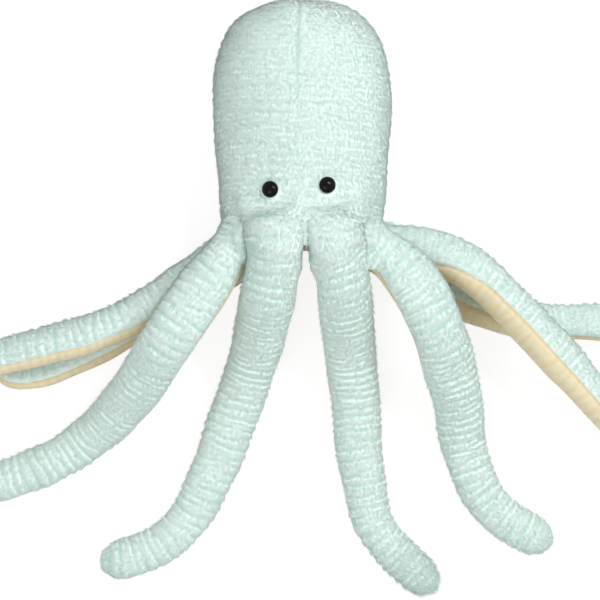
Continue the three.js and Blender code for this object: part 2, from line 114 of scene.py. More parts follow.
# Each tentacle's course: headings, lifts and rolls at shares of its length, as in its CAD solids.
# seams says how far the seams leave the middle of the sides, run how far the cover reaches back into
# the head, and fillet how softly it runs into the head.
PLAIN_LIMB = dict(
    seams=[(0, 0), (1, 0)], fluff=1, run=0, lowered=False, length_share=1, width_share=1, plump_share=1,
)
FRONT_LIFTS = [(0.1, 1.8), (0.25, 0.95), (0.38, 0.3), (0.5, 0), (1, 0)]
LIMBS = [
    dict(
        name="tentacle_1", azimuth=-65, run=34, fillet=22,
        bends=[(0, -130), (0.12, -126), (0.25, -124), (0.5, -130), (0.62, -139), (0.7, -145),
               (0.82, -158), (1, -172)],
        lifts=[(0.12, 1.71), (0.27, 1.72), (0.4, 1.12), (0.55, 0.4), (0.69, 0), (1, 0)],
        rolls=[(0, 35), (0.2, 12), (0.4, 0), (1, 0)],
    ),
    dict(
        name="tentacle_2", azimuth=-22.5, run=44, fillet=48, length_share=1.04,
        bends=[(0, -97), (0.12, -101), (0.25, -105), (0.4, -108), (0.55, -111), (0.68, -115),
               (0.76, -126), (0.83, -143), (0.91, -162), (1, -180)],
        lifts=FRONT_LIFTS,
        rolls=[(0, 12), (0.3, 0), (1, 0)],
    ),
    dict(
        name="tentacle_3", azimuth=22.5, run=44, fillet=48, fluff=1.6,
        bends=[(0, -77), (0.12, -79.5), (0.25, -82.5), (0.5, -84), (0.66, -82), (0.74, -74),
               (0.8, -58), (0.86, -47), (1, -43)],
        lifts=FRONT_LIFTS,
        rolls=[(0, 12), (0.3, 0), (1, 0)],
    ),
    dict(
        name="tentacle_4", azimuth=65, run=34, fillet=22, length_share=0.96,
        bends=[(0, -27), (0.1, -49), (0.2, -64), (0.35, -70), (0.45, -75), (0.58, -78),
               (0.66, -76), (0.73, -69), (0.79, -54), (0.87, -34), (1, -20)],
        lifts=[(0.12, 1.65), (0.27, 1.5), (0.4, 0.95), (0.55, 0.3), (0.66, 0), (1, 0)],
        rolls=[(0, 35), (0.2, 12), (0.4, 0), (1, 0)],
    ),
    dict(
        name="tentacle_5", azimuth=-115, fillet=12, width_share=0.85,
        seams=[(0, -0.6), (0.15, -0.5), (0.4, -0.45), (1, -0.5)],
        bends=[(0, -144), (0.15, -146), (0.3, -152), (0.42, -163), (0.6, -165), (1, -167)],
        lifts=[(0.12, 0.66), (0.25, 0.68), (0.38, 0.78), (0.66, 0.8), (0.8, 0.42), (0.93, 0), (1, 0)],
        rolls=[(0, 60), (0.2, 78), (0.35, 84), (1, 84)],
    ),
    dict(
        name="tentacle_6", azimuth=-155, fillet=10, lowered=True, length_share=0.78,
        plump_share=0.82,
        seams=[(0, 0), (0.3, 0.3), (0.6, 0.55), (1, 0.5)],
        bends=[(0, -150), (0.25, -148), (0.55, -147), (0.7, -151), (0.83, -160), (0.92, -178),
               (1, -190)],
        lifts=[(1, 0)],
        rolls=[(0, 0), (0.3, 5), (0.6, 25), (1, 40)],
    ),
    dict(
        name="tentacle_7", azimuth=115, fillet=12, width_share=0.88, plump_share=1.1,
        seams=[(0, -0.6), (0.15, -0.4), (0.3, 0), (1, 0)],
        bends=[(0, 2), (0.1, -7), (0.18, -22), (0.26, -37), (0.42, -46), (0.6, -48), (0.8, -48),
               (1, -54)],
        lifts=[(0.12, 0.72), (0.22, 0.87), (0.36, 0.93), (0.62, 0.95), (0.74, 0.84), (0.84, 0.35),
               (0.93, 0), (1, 0)],
        rolls=[(0, 60), (0.2, 80), (0.35, 82), (1, 82)],
    ),
    dict(
        name="tentacle_8", azimuth=155, fillet=10, lowered=True, length_share=0.78,
        plump_share=0.9,
        seams=[(0, 0), (0.2, 0), (0.3, 0.8), (0.55, 0.6), (0.7, 0), (1, 0)],
        bends=[(0, -10), (0.1, -18), (0.22, -34), (0.42, -31), (0.55, -20), (0.68, -8), (0.85, 0),
               (1, 6)],
        lifts=[(1, 0)],
        rolls=[(0, 0), (0.25, 12), (0.5, 52), (0.7, 50), (1, 40)],
    ),
]

# The eyes, and how the head's cover meets them
EYE_SHARE = 0.7725
EYE_TILT_SHARE = 0.008
EYE_FACET = 1.5
EYE_RADIUS = 9
EYE_HEIGHT = 8
EYE_BRIM = 1.2
EYE_BRIM_STEPS = [(0.1, 0.5), (0.5, 0)]
EYE_POST = 2.5
EYE_TAIL = 7.9
EYE_FIT = 0.3
EYE_SIDES = 64
DOME_ROWS = 22
DOME_START_SHARE = 0.04
EYE_DIMPLE = 11
EYE_DIMPLE_DEPTH = 1.2
EYE_CLEARING = (11.3, 12.5)
EYE_CLEARING_SHIFT = (0, 2, 0)
EYE_CALM = (12, 40)

# The base panel
BASE_RINGS = 30
BASE_SIDES = 120
BASE_START_SHARE = 0.03
BASE_EDGE = 0.4
BASE_CROWN = 1.6
BASE_SINK = 1.5
BASE_SHADE = 0.7

# How the covers run into one another over the roots. Here and below, a pair says where a change
# starts and where it is whole.
ROOT_REACH = 120
ROOT_REACH_FADE = (70, 95)
DRAPE_LENGTH = 110
DRAPE_START = 30
DRAPE_REACH = 34
DRAPE_STEP = 2.5
HEAD_DRAPE_LOW = -6
HEAD_DRAPE_THINNING = 3
LIMB_DRAPE_LOW = -2
LIMB_DRAPE_THINNING = 2
LIMB_DRAPE_ROUNDS = 8
HIDDEN_DRAPE_SHARES = (-0.95, -0.7)
FILLET_FADE = (20, 85)
LEAST_FILLET = 3
WEB_FILLET = 30
WEB_FADE = (0, 30)
LEAST_WEB = 4
HIDDEN_GAP = 34
HIDDEN_END_SHARES = (-0.8, -0.2)
UNDER_ANOTHER = (-6, 18)
DEEP_UNDER = (10, 30)
OWN_DIP = 1.8
DEEP_DIP = 9
MOST_DIP_SHARE = 0.7
TURN_OVER = (2, 34)
NEAR_LIMB = 30
FLOOR_CLEAR = 0.1
HEAD_CLOSED_SHARE = 0.02
ROOT_RING_SHARE = 1.3
TIP_RINGS = 24
FLAT_TIP = 8

# The seams
FACE_SEAM_FADE = (110, 200)
FACE_SEAM_FADED_SHARE = 0.65
SEAM_SMOOTH_SHARE = 0.6
# Painted shade: how much darker the fur is drawn along the hollow of a seam, on the head and on the tentacles
HEAD_SEAM_SHADE = 0.5
LIMB_SEAM_SHADE = 0.4
MINT_EDGE = (-1, 5)
CREAM_BELOW = 0.1
ROOT_MINT = (0, 14)
ROOT_SEAM_START = (0, 30)

# Fur cover: one nap of ridges runs over the whole pillow. Each ridge is a lock of long pile that
# lies over the next, and the ridges branch and end as they do in real crushed fur. A kind of ridge
# has its seed, how much its spacing varies and how far it leans off the nap, in degrees.
LIMB_RIDGES = dict(seed=11, spread=0.26, lean=13)
HEAD_RIDGES = dict(seed=12, spread=0.35, lean=20)
FINE_RIDGES = dict(seed=13, spread=0.2, lean=22)
RIDGE_WAVES = 26
PILE_LOCKS = dict(seed=23, count=30, spread=0.25)
STUFFING_LUMPS = dict(seed=37, count=12, spread=0.2)
RIDGE_LEVEL = 0.6
RIDGE_SHARPNESS = 0.45
RIDGE_STRENGTH = (0.12, 1.1)
ROUND_SHARE = 0.4
COURSE_APART = 1000
# How much of the painted shade and highlight comes from the fine ridges
FINE_SHADE = 0.12
# A level shade, and how far the ridges' painted shade and highlight show through it
HEAD_SHADE = (0.55, 0.5)
CREAM_SHADE = (0.62, 0.3)
BRIGHTEST = 1.2

# The hairs: how far each draw spreads or ranges, and where the pile is bare, long or shaded
HAIR_SEED = 51
LIMB_HAIR_SEED = 61
MOST_HAIRS = 49000
HAIR_ROOT = 0.5
LOCK_ASIDE = 0.3
LOCK_STAND = 0.1
HAIR_ASIDE = 0.2
HAIR_STAND = 0.08
STAND_RANGE = (0.12, 1)
LENGTH_RANGE = (0.65, 1.25)
WIDTH_RANGE = (0.8, 1.25)
HAIR_ROLL = 0.25
HAIR_SHADE = 0.06
HAIR_GLINT = 0.02
HAIR_SHEEN = 0.16
HAIR_SMOOTH_SHARE = 0.75
MINT_SHADE_STEPS = [0.5, 0.78]
CREAM_SHADE_STEP = 0.6
CREAM_FROM = 0.5
HEAD_BARE = (0.8, 1)
LIMB_BARE = (0.6, 0.95)
FLUFF_SHARES = (0.8, 0.92)
CROWN_LIE = np.array([0.5, 0, -1])
CROWN_LIE_REACH = (3, 16)

# The patterns of the materials: their sizes, and how far they shade the fur's ground
STREAK_STRETCH = (1, 0.4, 0.4)
STREAK_SHADE = 0.35
CLOUD_SIZE = 45
CLOUD_SHADE = 0.3
# Stops of the colour ramp: painted crease shade, the fur's own colour, painted crest highlight
SHADE_STOPS = (0.4, 0.66, 23 / 24)
MINT_BUMP = 1.2
CREAM_BUMP = 0.4
CREAM_FIBRE_SHARE = 0.6
FLOW_SIZE = 2.5

# Camera, floor and lights, in metres and watts
CAMERA_PLACE = (-0.0022, -0.2216, 2.0)
SEEN_WIDTH = 0.69
SENSOR_WIDTH = 36
FLOOR_LEVEL = -0.0003
FLOOR_REACH = 30
LIT_PLACE = (0, -0.15, 0.05)
LIGHTS = [
    dict(name="key_light", place=(1.4, 0.5, 1.9), size=0.9, watts=20),
    dict(name="fill_light", place=(-0.6, -1.2, 1.6), size=1.4, watts=11),
    dict(name="catch_light", place=(0.5, 0.45, 1.3), size=0.12, watts=5.5),
]
ROOM_LIGHT = 0.66


def smoothstep(value, low, high):
    """0 at low and 1 at high, with a smooth change between them."""
    t = np.clip((value - low) / (high - low), 0, 1)
    return t * t * (3 - 2 * t)


def lerp(a, b, t):
    return a + (b - a) * t


def along_rows(a, b):
    """The dot product of each row of a with the same row of b."""
    return np.einsum("ij,ij->i", a, b)


def unit(vectors):
    return vectors / np.maximum(np.linalg.norm(vectors, axis=-1, keepdims=True), TINY)


def turns(sides):
    """Angles once round, in even steps."""
    return np.arange(sides) * 2 * math.pi / sides


def travel_along(line):
    """How far each place of a line lies along it."""
    return np.concatenate([[0], np.cumsum(np.linalg.norm(np.diff(line, axis=0), axis=1))])


def nearest_on(line, points):
    """How far points lie from a line of places, and where along it they lie nearest, in its steps."""
    best, where = np.full(len(points), FAR), np.zeros(len(points))
    for k, run in enumerate(np.diff(line, axis=0)):
        share = np.clip(((points - line[k]) @ run) / (run @ run), 0, 1)
        gap = np.linalg.norm(points - line[k] - share[:, None] * run, axis=1)
        where = np.where(gap < best, k + share, where)
        best = np.minimum(best, gap)
    return best, where


def curve_through(table):
    """A smooth curve through rows of (share, value), level where it leaves the table."""
    shares = np.array([row[0] for row in table], float)
    values = np.array([row[1] for row in table], float)
    last = len(shares) - 1

    def curve(share):
        t = np.clip(np.asarray(share, float), shares[0], shares[-1])
        i = np.clip(np.searchsorted(shares, t, side="right"), 1, last)
        t0, t1 = shares[i - 1], shares[i]
        before = np.where(i >= 2, i - 2, i)
        after = np.where(i + 1 <= last, i + 1, i - 1)
        half = (t1 - t0) / 2
        prev = half / (t0 - shares[before])
        following = half / (shares[after] - t1)
        p = (t - t0) / (t1 - t0)
        pp, ppp = p * p, p * p * p
        return (
            values[before] * (-prev * ppp + 2 * prev * pp - prev * p)
            + values[i - 1] * ((1 + prev) * ppp + (-1.5 - 2 * prev) * pp + (-0.5 + prev) * p + 1)
            + values[i] * ((-1 - following) * ppp + (1.5 + following) * pp + 0.5 * p)
            + values[after] * (following * ppp - following * pp)
        )

    return curve


class Head:
    """The head's smooth outline and how far any point lies from it."""

    def __init__(self):
        rows = np.array(HEAD_WIDTH_SHARES) * (HEAD_LENGTH, HEAD_WIDTH / 2)
        travel = travel_along(rows)
        across = curve_through(list(zip(travel, rows[:, 1])))
        along = curve_through(list(zip(travel, rows[:, 0])))
        fine = np.linspace(0, travel[-1], OUTLINE_STEPS)
        outline = np.stack([along(fine), np.maximum(across(fine), 0)], axis=1)
        rim = outline[-1]
        closing = np.linspace(0, 1, CLOSING_STEPS)[1:, None]
        flat = rim + (np.array([rim[0], 0]) - rim) * closing
        self.outline = np.concatenate([outline, flat])
        self.travel = travel_along(self.outline)
        self.rim = self.travel[OUTLINE_STEPS - 1]

    def axis_height(self, from_crown):
        """How high the head's axis lies at distances from the crown."""
        rise = smoothstep(from_crown, HEAD_LENGTH * AXIS_RISE_SHARE, HEAD_LENGTH)
        return REST_LEVEL + rise * (RING_HEIGHT - REST_LEVEL)

    def at(self, travel, azimuth):
        """Points on the head at distances along its outline and angles round its axis."""
        from_crown = np.interp(travel, self.travel, self.outline[:, 0])
        width = np.interp(travel, self.travel, self.outline[:, 1])
        x = width * np.sin(azimuth)
        z = self.axis_height(from_crown) + width * DEPTH_SHARE * np.cos(azimuth)
        return np.stack([x, CROWN_LEVEL - from_crown, z], axis=-1)

    def distance(self, points):
        """Roughly how far points lie outside the head, in mm, and negative inside it."""
        from_crown = CROWN_LEVEL - points[:, 1]
        level = self.axis_height(np.clip(from_crown, 0, HEAD_LENGTH))
        lean = (points[:, 2] - level) / DEPTH_SHARE
        width = np.hypot(points[:, 0], lean)
        place = np.stack([from_crown, width], axis=1)
        nearest, _ = nearest_on(self.outline[::OUTLINE_THINNING], place)
        sides = self.outline[:OUTLINE_STEPS]
        limit = np.interp(from_crown, sides[:, 0], sides[:, 1])
        inside = (from_crown > 0) & (from_crown < HEAD_LENGTH) & (width < limit)
        squeeze = lerp(1, DEPTH_SHARE, np.abs(lean) / np.maximum(width, TINY))
        return np.where(inside, -nearest, nearest) * squeeze

    def nap(self, points):
        """Distance from the crown along the outline, across and up, for points near the head."""
        from_crown = np.clip(CROWN_LEVEL - points[:, 1], 0, None)
        travel = np.interp(from_crown, self.outline[:OUTLINE_STEPS, 0], self.travel[:OUTLINE_STEPS])
        return np.stack([travel, points[:, 0], points[:, 2]], axis=1)


class Limb:
    """A tentacle's centreline and section, from the same tables as its CAD solids."""

    def __init__(self, facts):
        self.__dict__.update(PLAIN_LIMB | facts)
        self.side = math.copysign(1, self.azimuth)
        self.length = LIMB_LENGTH * self.length_share
        self.radius = REAR_ROOT_RADIUS if self.lowered else ROOT_RADIUS
        self.taper = curve_through(LIMB_TAPER_SHARES)
        self.roll = curve_through(self.rolls)
        angle = math.radians(self.azimuth)
        height = RING_HEIGHT + RING_HALF_DEPTH * math.cos(angle)
        self.root = np.array([
            RING_SHIFT + RING_HALF_WIDTH * math.sin(angle),
            BASE_LEVEL + (REAR_INSET if self.lowered else 0),
            self.radius + FLOOR_GAP if self.lowered else height,
        ])
        self.extend(self.walk())

    def size(self, along):
        """Half the width and half the thickness at distances along the tentacle."""
        along = np.asarray(along, float)
        if self.run:
            share = np.clip(-along / self.run, 0, 1)
            closed = np.maximum(share - ROOT_CLOSE_SHARE, 0) / (1 - ROOT_CLOSE_SHARE)
            rounding = np.sqrt(np.maximum(1 - closed ** 2, 0))
            behind = self.radius * lerp(1, ROOT_SHRINK, share ** 2) * rounding
        else:
            behind = np.sqrt(np.maximum(self.radius ** 2 - along ** 2, 0))
        swell = smoothstep(along, 0, SWELL_LENGTH)
        taper = self.taper(along / self.length)
        tip = np.clip(along - (self.length - TIP_LENGTH), 0, TIP_LENGTH) / TIP_LENGTH
        rounding = np.sqrt(1 - tip * tip)
        half = lerp(self.radius, LIMB_WIDTH / 2 * self.width_share * taper, swell) * rounding
        thick = lerp(self.radius, LIMB_THICK / 2 * self.plump_share * taper, swell) * rounding
        return np.where(along <= 0, behind, half), np.where(along <= 0, behind, thick)

    def standing(self, along):
        """How high the centreline stands where the tentacle lies on the floor."""
        bare = min(along, self.length - TIP_LENGTH)
        half, thick = self.size(bare)
        roll = math.radians(float(self.roll(along / self.length)))
        return math.hypot(half * math.sin(roll), thick * math.cos(roll)) + FLOOR_GAP

    def walk(self):
        """The centreline from the root to the tip, as in the CAD solids."""
        step = self.length / ROUTE_STEPS
        heading = curve_through(self.bends)
        root_lift = (self.root[2] - self.radius - FLOOR_GAP) / LIMB_WIDTH
        lift = curve_through([(0, root_lift), *self.lifts])
        points = [self.root]
        for k in range(1, ROUTE_STEPS + 1):
            share = k / ROUTE_STEPS
            before = points[-1]
            height = self.standing(self.length * share) + max(float(lift(share)), 0) * LIMB_WIDTH
            angle = math.radians(float(heading(share - 0.5 / ROUTE_STEPS)))
            level = math.sqrt(max(step * step - (height - before[2]) ** 2, 0))
            points.append(np.array([
                before[0] + level * math.cos(angle), before[1] + level * math.sin(angle), height,
            ]))
        return np.array(points)

    def extend(self, route):
        """Carries the centreline back into the head, where the cover starts out of sight."""
        direction = unit(route[START_STEPS] - route[0])
        share = np.linspace(1, 0, EXTENSION_STEPS, endpoint=False)[:, None]
        if self.run:
            level = unit(direction * (1, 1, 0))
            back = self.root - level * self.run * share - np.array([0, 0, ROOT_DIVE]) * share ** 2
        else:
            back = self.root - direction * self.radius * share
        self.behind = self.run or self.radius
        forward = np.arange(ROUTE_STEPS + 1) * self.length / ROUTE_STEPS
        self.stops = np.concatenate([-self.behind * share[:, 0], forward])
        self.line = np.concatenate([back, route])
        tangent = unit(np.gradient(self.line, self.stops, axis=0))
        longer = np.pad(tangent, ((TANGENT_SMOOTHING, TANGENT_SMOOTHING), (0, 0)), mode="edge")
        count = 2 * TANGENT_SMOOTHING + 1
        smooth = [np.convolve(longer[:, k], np.ones(count) / count, mode="valid") for k in range(3)]
        self.tangent = unit(np.stack(smooth, axis=1))

    def along_line(self, values, along):
        """Rows that belong to the stops of the centreline, read off at distances along it."""
        return np.stack([np.interp(along, self.stops, values[:, k]) for k in range(3)], axis=1)

    def frame(self, along):
        """Centre, way across and way that the mint side faces."""
        direction = unit(self.along_line(self.tangent, along))
        outboard = unit(np.stack([-direction[:, 1], direction[:, 0], 0 * along], axis=1) * self.side)
        upward = np.cross(direction, outboard) * self.side
        roll = np.radians(self.roll(along / self.length))[:, None]
        mint = upward * np.cos(roll) + outboard * np.sin(roll)
        return self.along_line(self.line, along), np.cross(direction, mint), mint

    def locate(self, points, reach):
        """For points near the root: distance along, offsets across and toward the mint side, and
        roughly how far they lie outside the tentacle."""
        stops = np.arange(-self.run, reach, LOCATE_STEP)
        away, where = nearest_on(self.along_line(self.line, stops), points)
        along = where * LOCATE_STEP - self.run
        centre, across, mint = self.frame(along)
        offset = points - centre
        u, v = along_rows(offset, across), along_rows(offset, mint)
        half, thick = self.size(np.where(along == 0, TINY, along))
        around = np.arctan2(v / np.maximum(thick, 1), u / np.maximum(half, 1))
        radius = np.hypot(half * np.cos(around), thick * np.sin(around))
        return along, u, v, away - radius


HEAD = Head()
TENTACLES = [Limb(facts) for facts in LIMBS]


def eye_seat(side):
    """Where an eye sits on the CAD head, and the way it faces."""
    span = 90 + FACE_TURN if side < 0 else 90 - FACE_TURN
    width = span / GORE_SIDES
    middle = FACE_TURN + side * width * EYE_FACET
    rows = [row[0] for row in HEAD_WIDTH_SHARES]
    k = next(i for i, share in enumerate(rows) if share > EYE_SHARE)

    def corner(row, degrees):
        turn = math.radians(degrees)
        from_crown, half = HEAD_LENGTH * row[0], HEAD_WIDTH / 2 * row[1]
        z = HEAD.axis_height(from_crown) + half * DEPTH_SHARE * math.cos(turn)
        return np.array([half * math.sin(turn), CROWN_LEVEL - from_crown, z])

    upper, lower = (
        [corner(row, middle - width / 2), corner(row, middle + width / 2)]
        for row in HEAD_WIDTH_SHARES[k - 1:k + 1]
    )
    share = (EYE_SHARE - side * EYE_TILT_SHARE - rows[k - 1]) / (rows[k] - rows[k - 1])
    above, below = sum(upper) / 2, sum(lower) / 2
    normal = unit(np.cross(below - above, upper[1] - upper[0]))
    normal = normal if normal[2] > 0 else -normal
    point = lerp(above, below, share) + np.array([side, 0, 1]) * SEAM_GAP / 2
    return point, normal


EYE_PLACES = [eye_seat(side)[0] for side in (-1, 1)]


def ridge_waves(spacing, seed, spread, lean):
    """Waves that run along the nap: steps per mm along it and across it, and a phase."""
    draw = np.random.default_rng(seed)
    along = 1 / (spacing * np.exp(draw.normal(0, spread, RIDGE_WAVES)))
    turn = draw.normal(0, math.radians(lean), RIDGE_WAVES)
    way = draw.uniform(0, 2 * math.pi, RIDGE_WAVES)
    across = along * np.tan(turn)
    phase = draw.uniform(0, 2 * math.pi, RIDGE_WAVES)
    return np.stack([along, across * np.cos(way), across * np.sin(way), phase], axis=1)


def even_waves(spacing, seed, count, spread):
    """Waves that run every way."""
    draw = np.random.default_rng(seed)
    way = unit(draw.normal(size=(count, 3)))
    size = 1 / (spacing * np.exp(draw.normal(0, spread, count)))
    return np.concatenate([way * size[:, None], draw.uniform(0, 2 * math.pi, (count, 1))], axis=1)


def wave_sum(places, waves):
    """The sum of the waves at places given as along, across and outward, in mm."""
    total = np.zeros(len(places), complex)
    for along, across, outward, phase in waves:
        turn = 2 * math.pi * (places[:, 0] * along + places[:, 1] * across + places[:, 2] * outward)
        total += np.exp(1j * (turn + phase))
    return total / math.sqrt(len(waves))


class Nap:
    """How the pile lies at places on the covers: its ridges, locks and lumps."""

    def __init__(self, sizes):
        self.limb_waves = ridge_waves(sizes.ridge_spacing, **LIMB_RIDGES)
        self.head_waves = ridge_waves(sizes.head_spacing, **HEAD_RIDGES)
        self.fine_waves = ridge_waves(sizes.fine_spacing, **FINE_RIDGES)
        self.lock_waves = even_waves(sizes.lock_spacing, **PILE_LOCKS)
        self.lump_waves = even_waves(sizes.lump_spacing, **STUFFING_LUMPS)

    def ridges(self, head_share, head_places, limb_places):
        """Heights of the ridges, from 0 in the creases to 1 on the crests: broad ones and fine ones."""
        broad = lerp(
            wave_sum(limb_places, self.limb_waves), wave_sum(head_places, self.head_waves), head_share)
        fine = lerp(
            wave_sum(limb_places, self.fine_waves), wave_sum(head_places, self.fine_waves), head_share)
        return ridge_height(broad), ridge_height(fine)


def ridge_height(field):
    """From 0 in the creases between ridges to 1 on their crests, and level where ridges die out."""
    turn = np.angle(field)
    turn = turn + RIDGE_SHARPNESS * np.sin(turn)
    strength = smoothstep(np.abs(field), *RIDGE_STRENGTH)
    profile = ROUND_SHARE * (0.5 + 0.5 * np.cos(turn)) + (1 - ROUND_SHARE) * np.abs(np.cos(turn / 2))
    return lerp(RIDGE_LEVEL, profile, strength)


def shade_of(ridge, fine):
    """How light the pile is painted, from 0 in the creases, painted shade, to 1 on the crests, painted
    highlight.
    """
    return (1 - FINE_SHADE) * ridge + FINE_SHADE * fine


def smooth_least(a, b, reach):
    """The smaller of two gaps, rounded off where they are alike so that their surfaces run together."""
    near = np.maximum(reach - np.abs(a - b), 0) / reach
    return np.minimum(a, b) - near * near * reach / 4


def pillow_field(points):
    """Roughly how far points lie outside the whole pillow, outside the head and outside each tentacle,
    whose hidden root end counts as farther off so that the head's cover has that part to itself."""
    head = HEAD.distance(points)
    from_eyes = np.minimum(*[np.linalg.norm(points - place, axis=1) for place in EYE_PLACES])
    calm = smoothstep(from_eyes, *EYE_CALM)
    whole, web = head, np.full(len(points), FAR)
    gaps = []
    for limb in TENTACLES:
        along, _, _, gap = limb.locate(points, ROOT_REACH)
        fillet = limb.fillet * (1 - smoothstep(along, *FILLET_FADE)) * calm + LEAST_FILLET
        whole = np.minimum(whole, smooth_least(head, gap, fillet))
        web = smooth_least(web, gap, WEB_FILLET * (1 - smoothstep(along, *WEB_FADE)) * calm + LEAST_WEB)
        hidden = 1 - smoothstep(along, *[share * limb.behind for share in HIDDEN_END_SHARES])
        gaps.append(gap + HIDDEN_GAP * hidden)
    return np.minimum(whole, web), head, np.array(gaps)


def way_out(points, rays, low, high, missed):
    """How far along each ray the pillow's own surface lies, or what missed says where it is farther."""
    found = np.full(len(points), float(missed))
    rows = np.arange(len(points))
    stops = np.linspace(low, high, int((high - low) / DRAPE_STEP) + 1)
    before, _, _ = pillow_field(points + rays * low)
    for near, far in zip(stops[:-1], stops[1:]):
        now, _, _ = pillow_field(points[rows] + rays[rows] * far)
        out = now >= 0
        share = np.clip(-before / np.maximum(now - before, TINY), 0, 1)
        found[rows[out]] = lerp(near, far, share)[out]
        rows, before = rows[~out], now[~out]
    return found


def drape(grid, rays, thinning, low, high, missed):
    """way_out worked out on a thinned grid of rings and sides and spread smoothly over the whole."""
    rings, sides = grid.shape[:2]
    rows = np.unique(np.append(np.arange(0, rings, thinning), rings - 1))
    columns = np.arange(0, sides, thinning)
    thin_grid, thin_rays = (whole[rows][:, columns].reshape(-1, 3) for whole in (grid, rays))
    coarse = way_out(thin_grid, thin_rays, low, high, missed).reshape(len(rows), len(columns))
    wrapped = np.concatenate([coarse, coarse[:, :1]], axis=1)
    stations = np.append(columns, sides)
    wide = np.array([np.interp(np.arange(sides), stations, row) for row in wrapped])
    return np.array([np.interp(np.arange(rings), rows, wide[:, k]) for k in range(sides)]).T


def soften(field, rounds):
    """A field over the rings and sides of a tube, averaged with its neighbours again and again."""
    for _ in range(rounds):
        longer = np.pad(field, ((1, 1), (0, 0)), mode="edge")
        field = (longer[:-2] + field + longer[2:]) / 3
        field = (np.roll(field, 1, axis=1) + field + np.roll(field, -1, axis=1)) / 3
    return field


def surface_normals(points, rings, sides):
    """Normals of a closed grid of rings, each with the given number of sides."""
    grid = points.reshape(rings, sides, 3)
    down = np.gradient(grid, axis=0)
    around = (np.roll(grid, -1, axis=1) - np.roll(grid, 1, axis=1)) / 2
    return unit(np.cross(down, around).reshape(-1, 3))


def quad_corners(faces, sides):
    """The four corners, in order round it, of each face between rings of points."""
    ring, side = np.divmod(faces, sides)
    following = ring * sides + (side + 1) % sides
    return [faces, faces + sides, following + sides, following]


def with_poles(values, sides):
    """What belongs to rings of points, and then the middles of the first and the last ring."""
    return np.concatenate([values, [values[:sides].mean(axis=0), values[-sides:].mean(axis=0)]])


def smooth_mesh(name, places, face_sets, slots, materials):
    """A mesh from places, in mm, and arrays of faces, each with the corners of alike faces in rows."""
    mesh = bpy.data.meshes.new(name)
    mesh.vertices.add(len(places))
    mesh.vertices.foreach_set("co", (places * MM).ravel())
    corners = np.concatenate([faces.ravel() for faces in face_sets])
    counts = np.concatenate([np.full(len(faces), faces.shape[1]) for faces in face_sets])
    mesh.loops.add(len(corners))
    mesh.loops.foreach_set("vertex_index", corners)
    mesh.polygons.add(len(counts))
    mesh.polygons.foreach_set("loop_start", np.concatenate([[0], np.cumsum(counts)[:-1]]))
    mesh.polygons.foreach_set("use_smooth", np.ones(len(counts), bool))
    for material in materials:
        mesh.materials.append(material)
    if slots is not None:
        mesh.polygons.foreach_set("material_index", slots.astype(np.int32))
    mesh.update(calc_edges=True)
    return mesh


def placed(name, data):
    """An object that carries the mesh, light or camera, in the scene."""
    made = bpy.data.objects.new(name, data)
    bpy.context.scene.collection.objects.link(made)
    return made


def closed_mesh(name, points, rings, sides, attributes, face_slots, materials):
    """A closed piece from rings of points, in mm, with a pole at each end."""
    side = np.arange(sides)
    following = (side + 1) % sides
    count, tail = rings * sides, (rings - 1) * sides
    head_fan = np.stack([np.full(sides, count), side, following], axis=1)
    tail_fan = np.stack([np.full(sides, count + 1), tail + following, tail + side], axis=1)
    if face_slots is not None:
        face_slots = np.concatenate([face_slots, face_slots[:sides], face_slots[-sides:]])
    quads = np.stack(quad_corners(np.arange(tail), sides), axis=1)
    face_sets = [quads, head_fan, tail_fan]
    mesh = smooth_mesh(name, with_poles(points, sides), face_sets, face_slots, materials)
    for key, values in attributes.items():
        whole = with_poles(values, sides)
        kind, field = ("FLOAT", "value") if whole.ndim == 1 else ("FLOAT_VECTOR", "vector")
        layer = mesh.attributes.new(key, kind, "POINT")
        layer.data.foreach_set(field, whole.ravel().astype(np.float32))
    return placed(name, mesh)


class Skin:
    """A cover's finished surface as rings of points, with what its pile needs to know."""

    def __init__(self, rings, sides, points, shade, cream, keep, long, smooth):
        points[:, 2] = np.maximum(points[:, 2], FLOOR_CLEAR)
        self.rings, self.sides, self.points, self.smooth = rings, sides, points, smooth
        self.shade, self.cream, self.keep, self.long = np.clip(shade, 0, BRIGHTEST), cream, keep, long
        self.lie = unit(np.gradient(points.reshape(rings, sides, 3), axis=0)).reshape(-1, 3)
        self.normals = surface_normals(points, rings, sides)


def seam_hollow(distance, width):
    """1 in the middle of a seam, and less to its sides."""
    return np.exp(-(distance / width) ** 2)


def head_form(travel, sides):
    """The head's smooth form, drawn out over the tentacles' roots and closed at its base: a ring of
    points for each distance from the crown along its outline."""
    body = travel <= HEAD.rim
    spot = np.minimum(travel, HEAD.rim)
    azimuth = np.tile(turns(sides), len(travel))
    points = HEAD.at(np.repeat(spot, sides), azimuth).reshape(len(travel), sides, 3)
    level = HEAD.axis_height(CROWN_LEVEL - points[..., 1:2])
    middle = np.array([0, 1, 0]) * points + np.array([0, 0, 1]) * level
    rays = unit(points - middle)
    start = HEAD.rim - DRAPE_LENGTH
    low = (spot > start) & body
    rise = np.zeros((len(travel), sides))
    rise[low] = drape(points[low], rays[low], HEAD_DRAPE_THINNING, HEAD_DRAPE_LOW, DRAPE_REACH, DRAPE_REACH)
    rise[low] *= smoothstep(spot[low], start, start + DRAPE_START)[:, None]
    rise[~body] = rise[body][-1]
    points = points + rays * rise[..., None]
    closing = np.interp(travel, [HEAD.rim, HEAD.travel[-1]], [1, HEAD_CLOSED_SHARE])[:, None, None]
    return (middle + (points - middle) * closing).reshape(-1, 3)


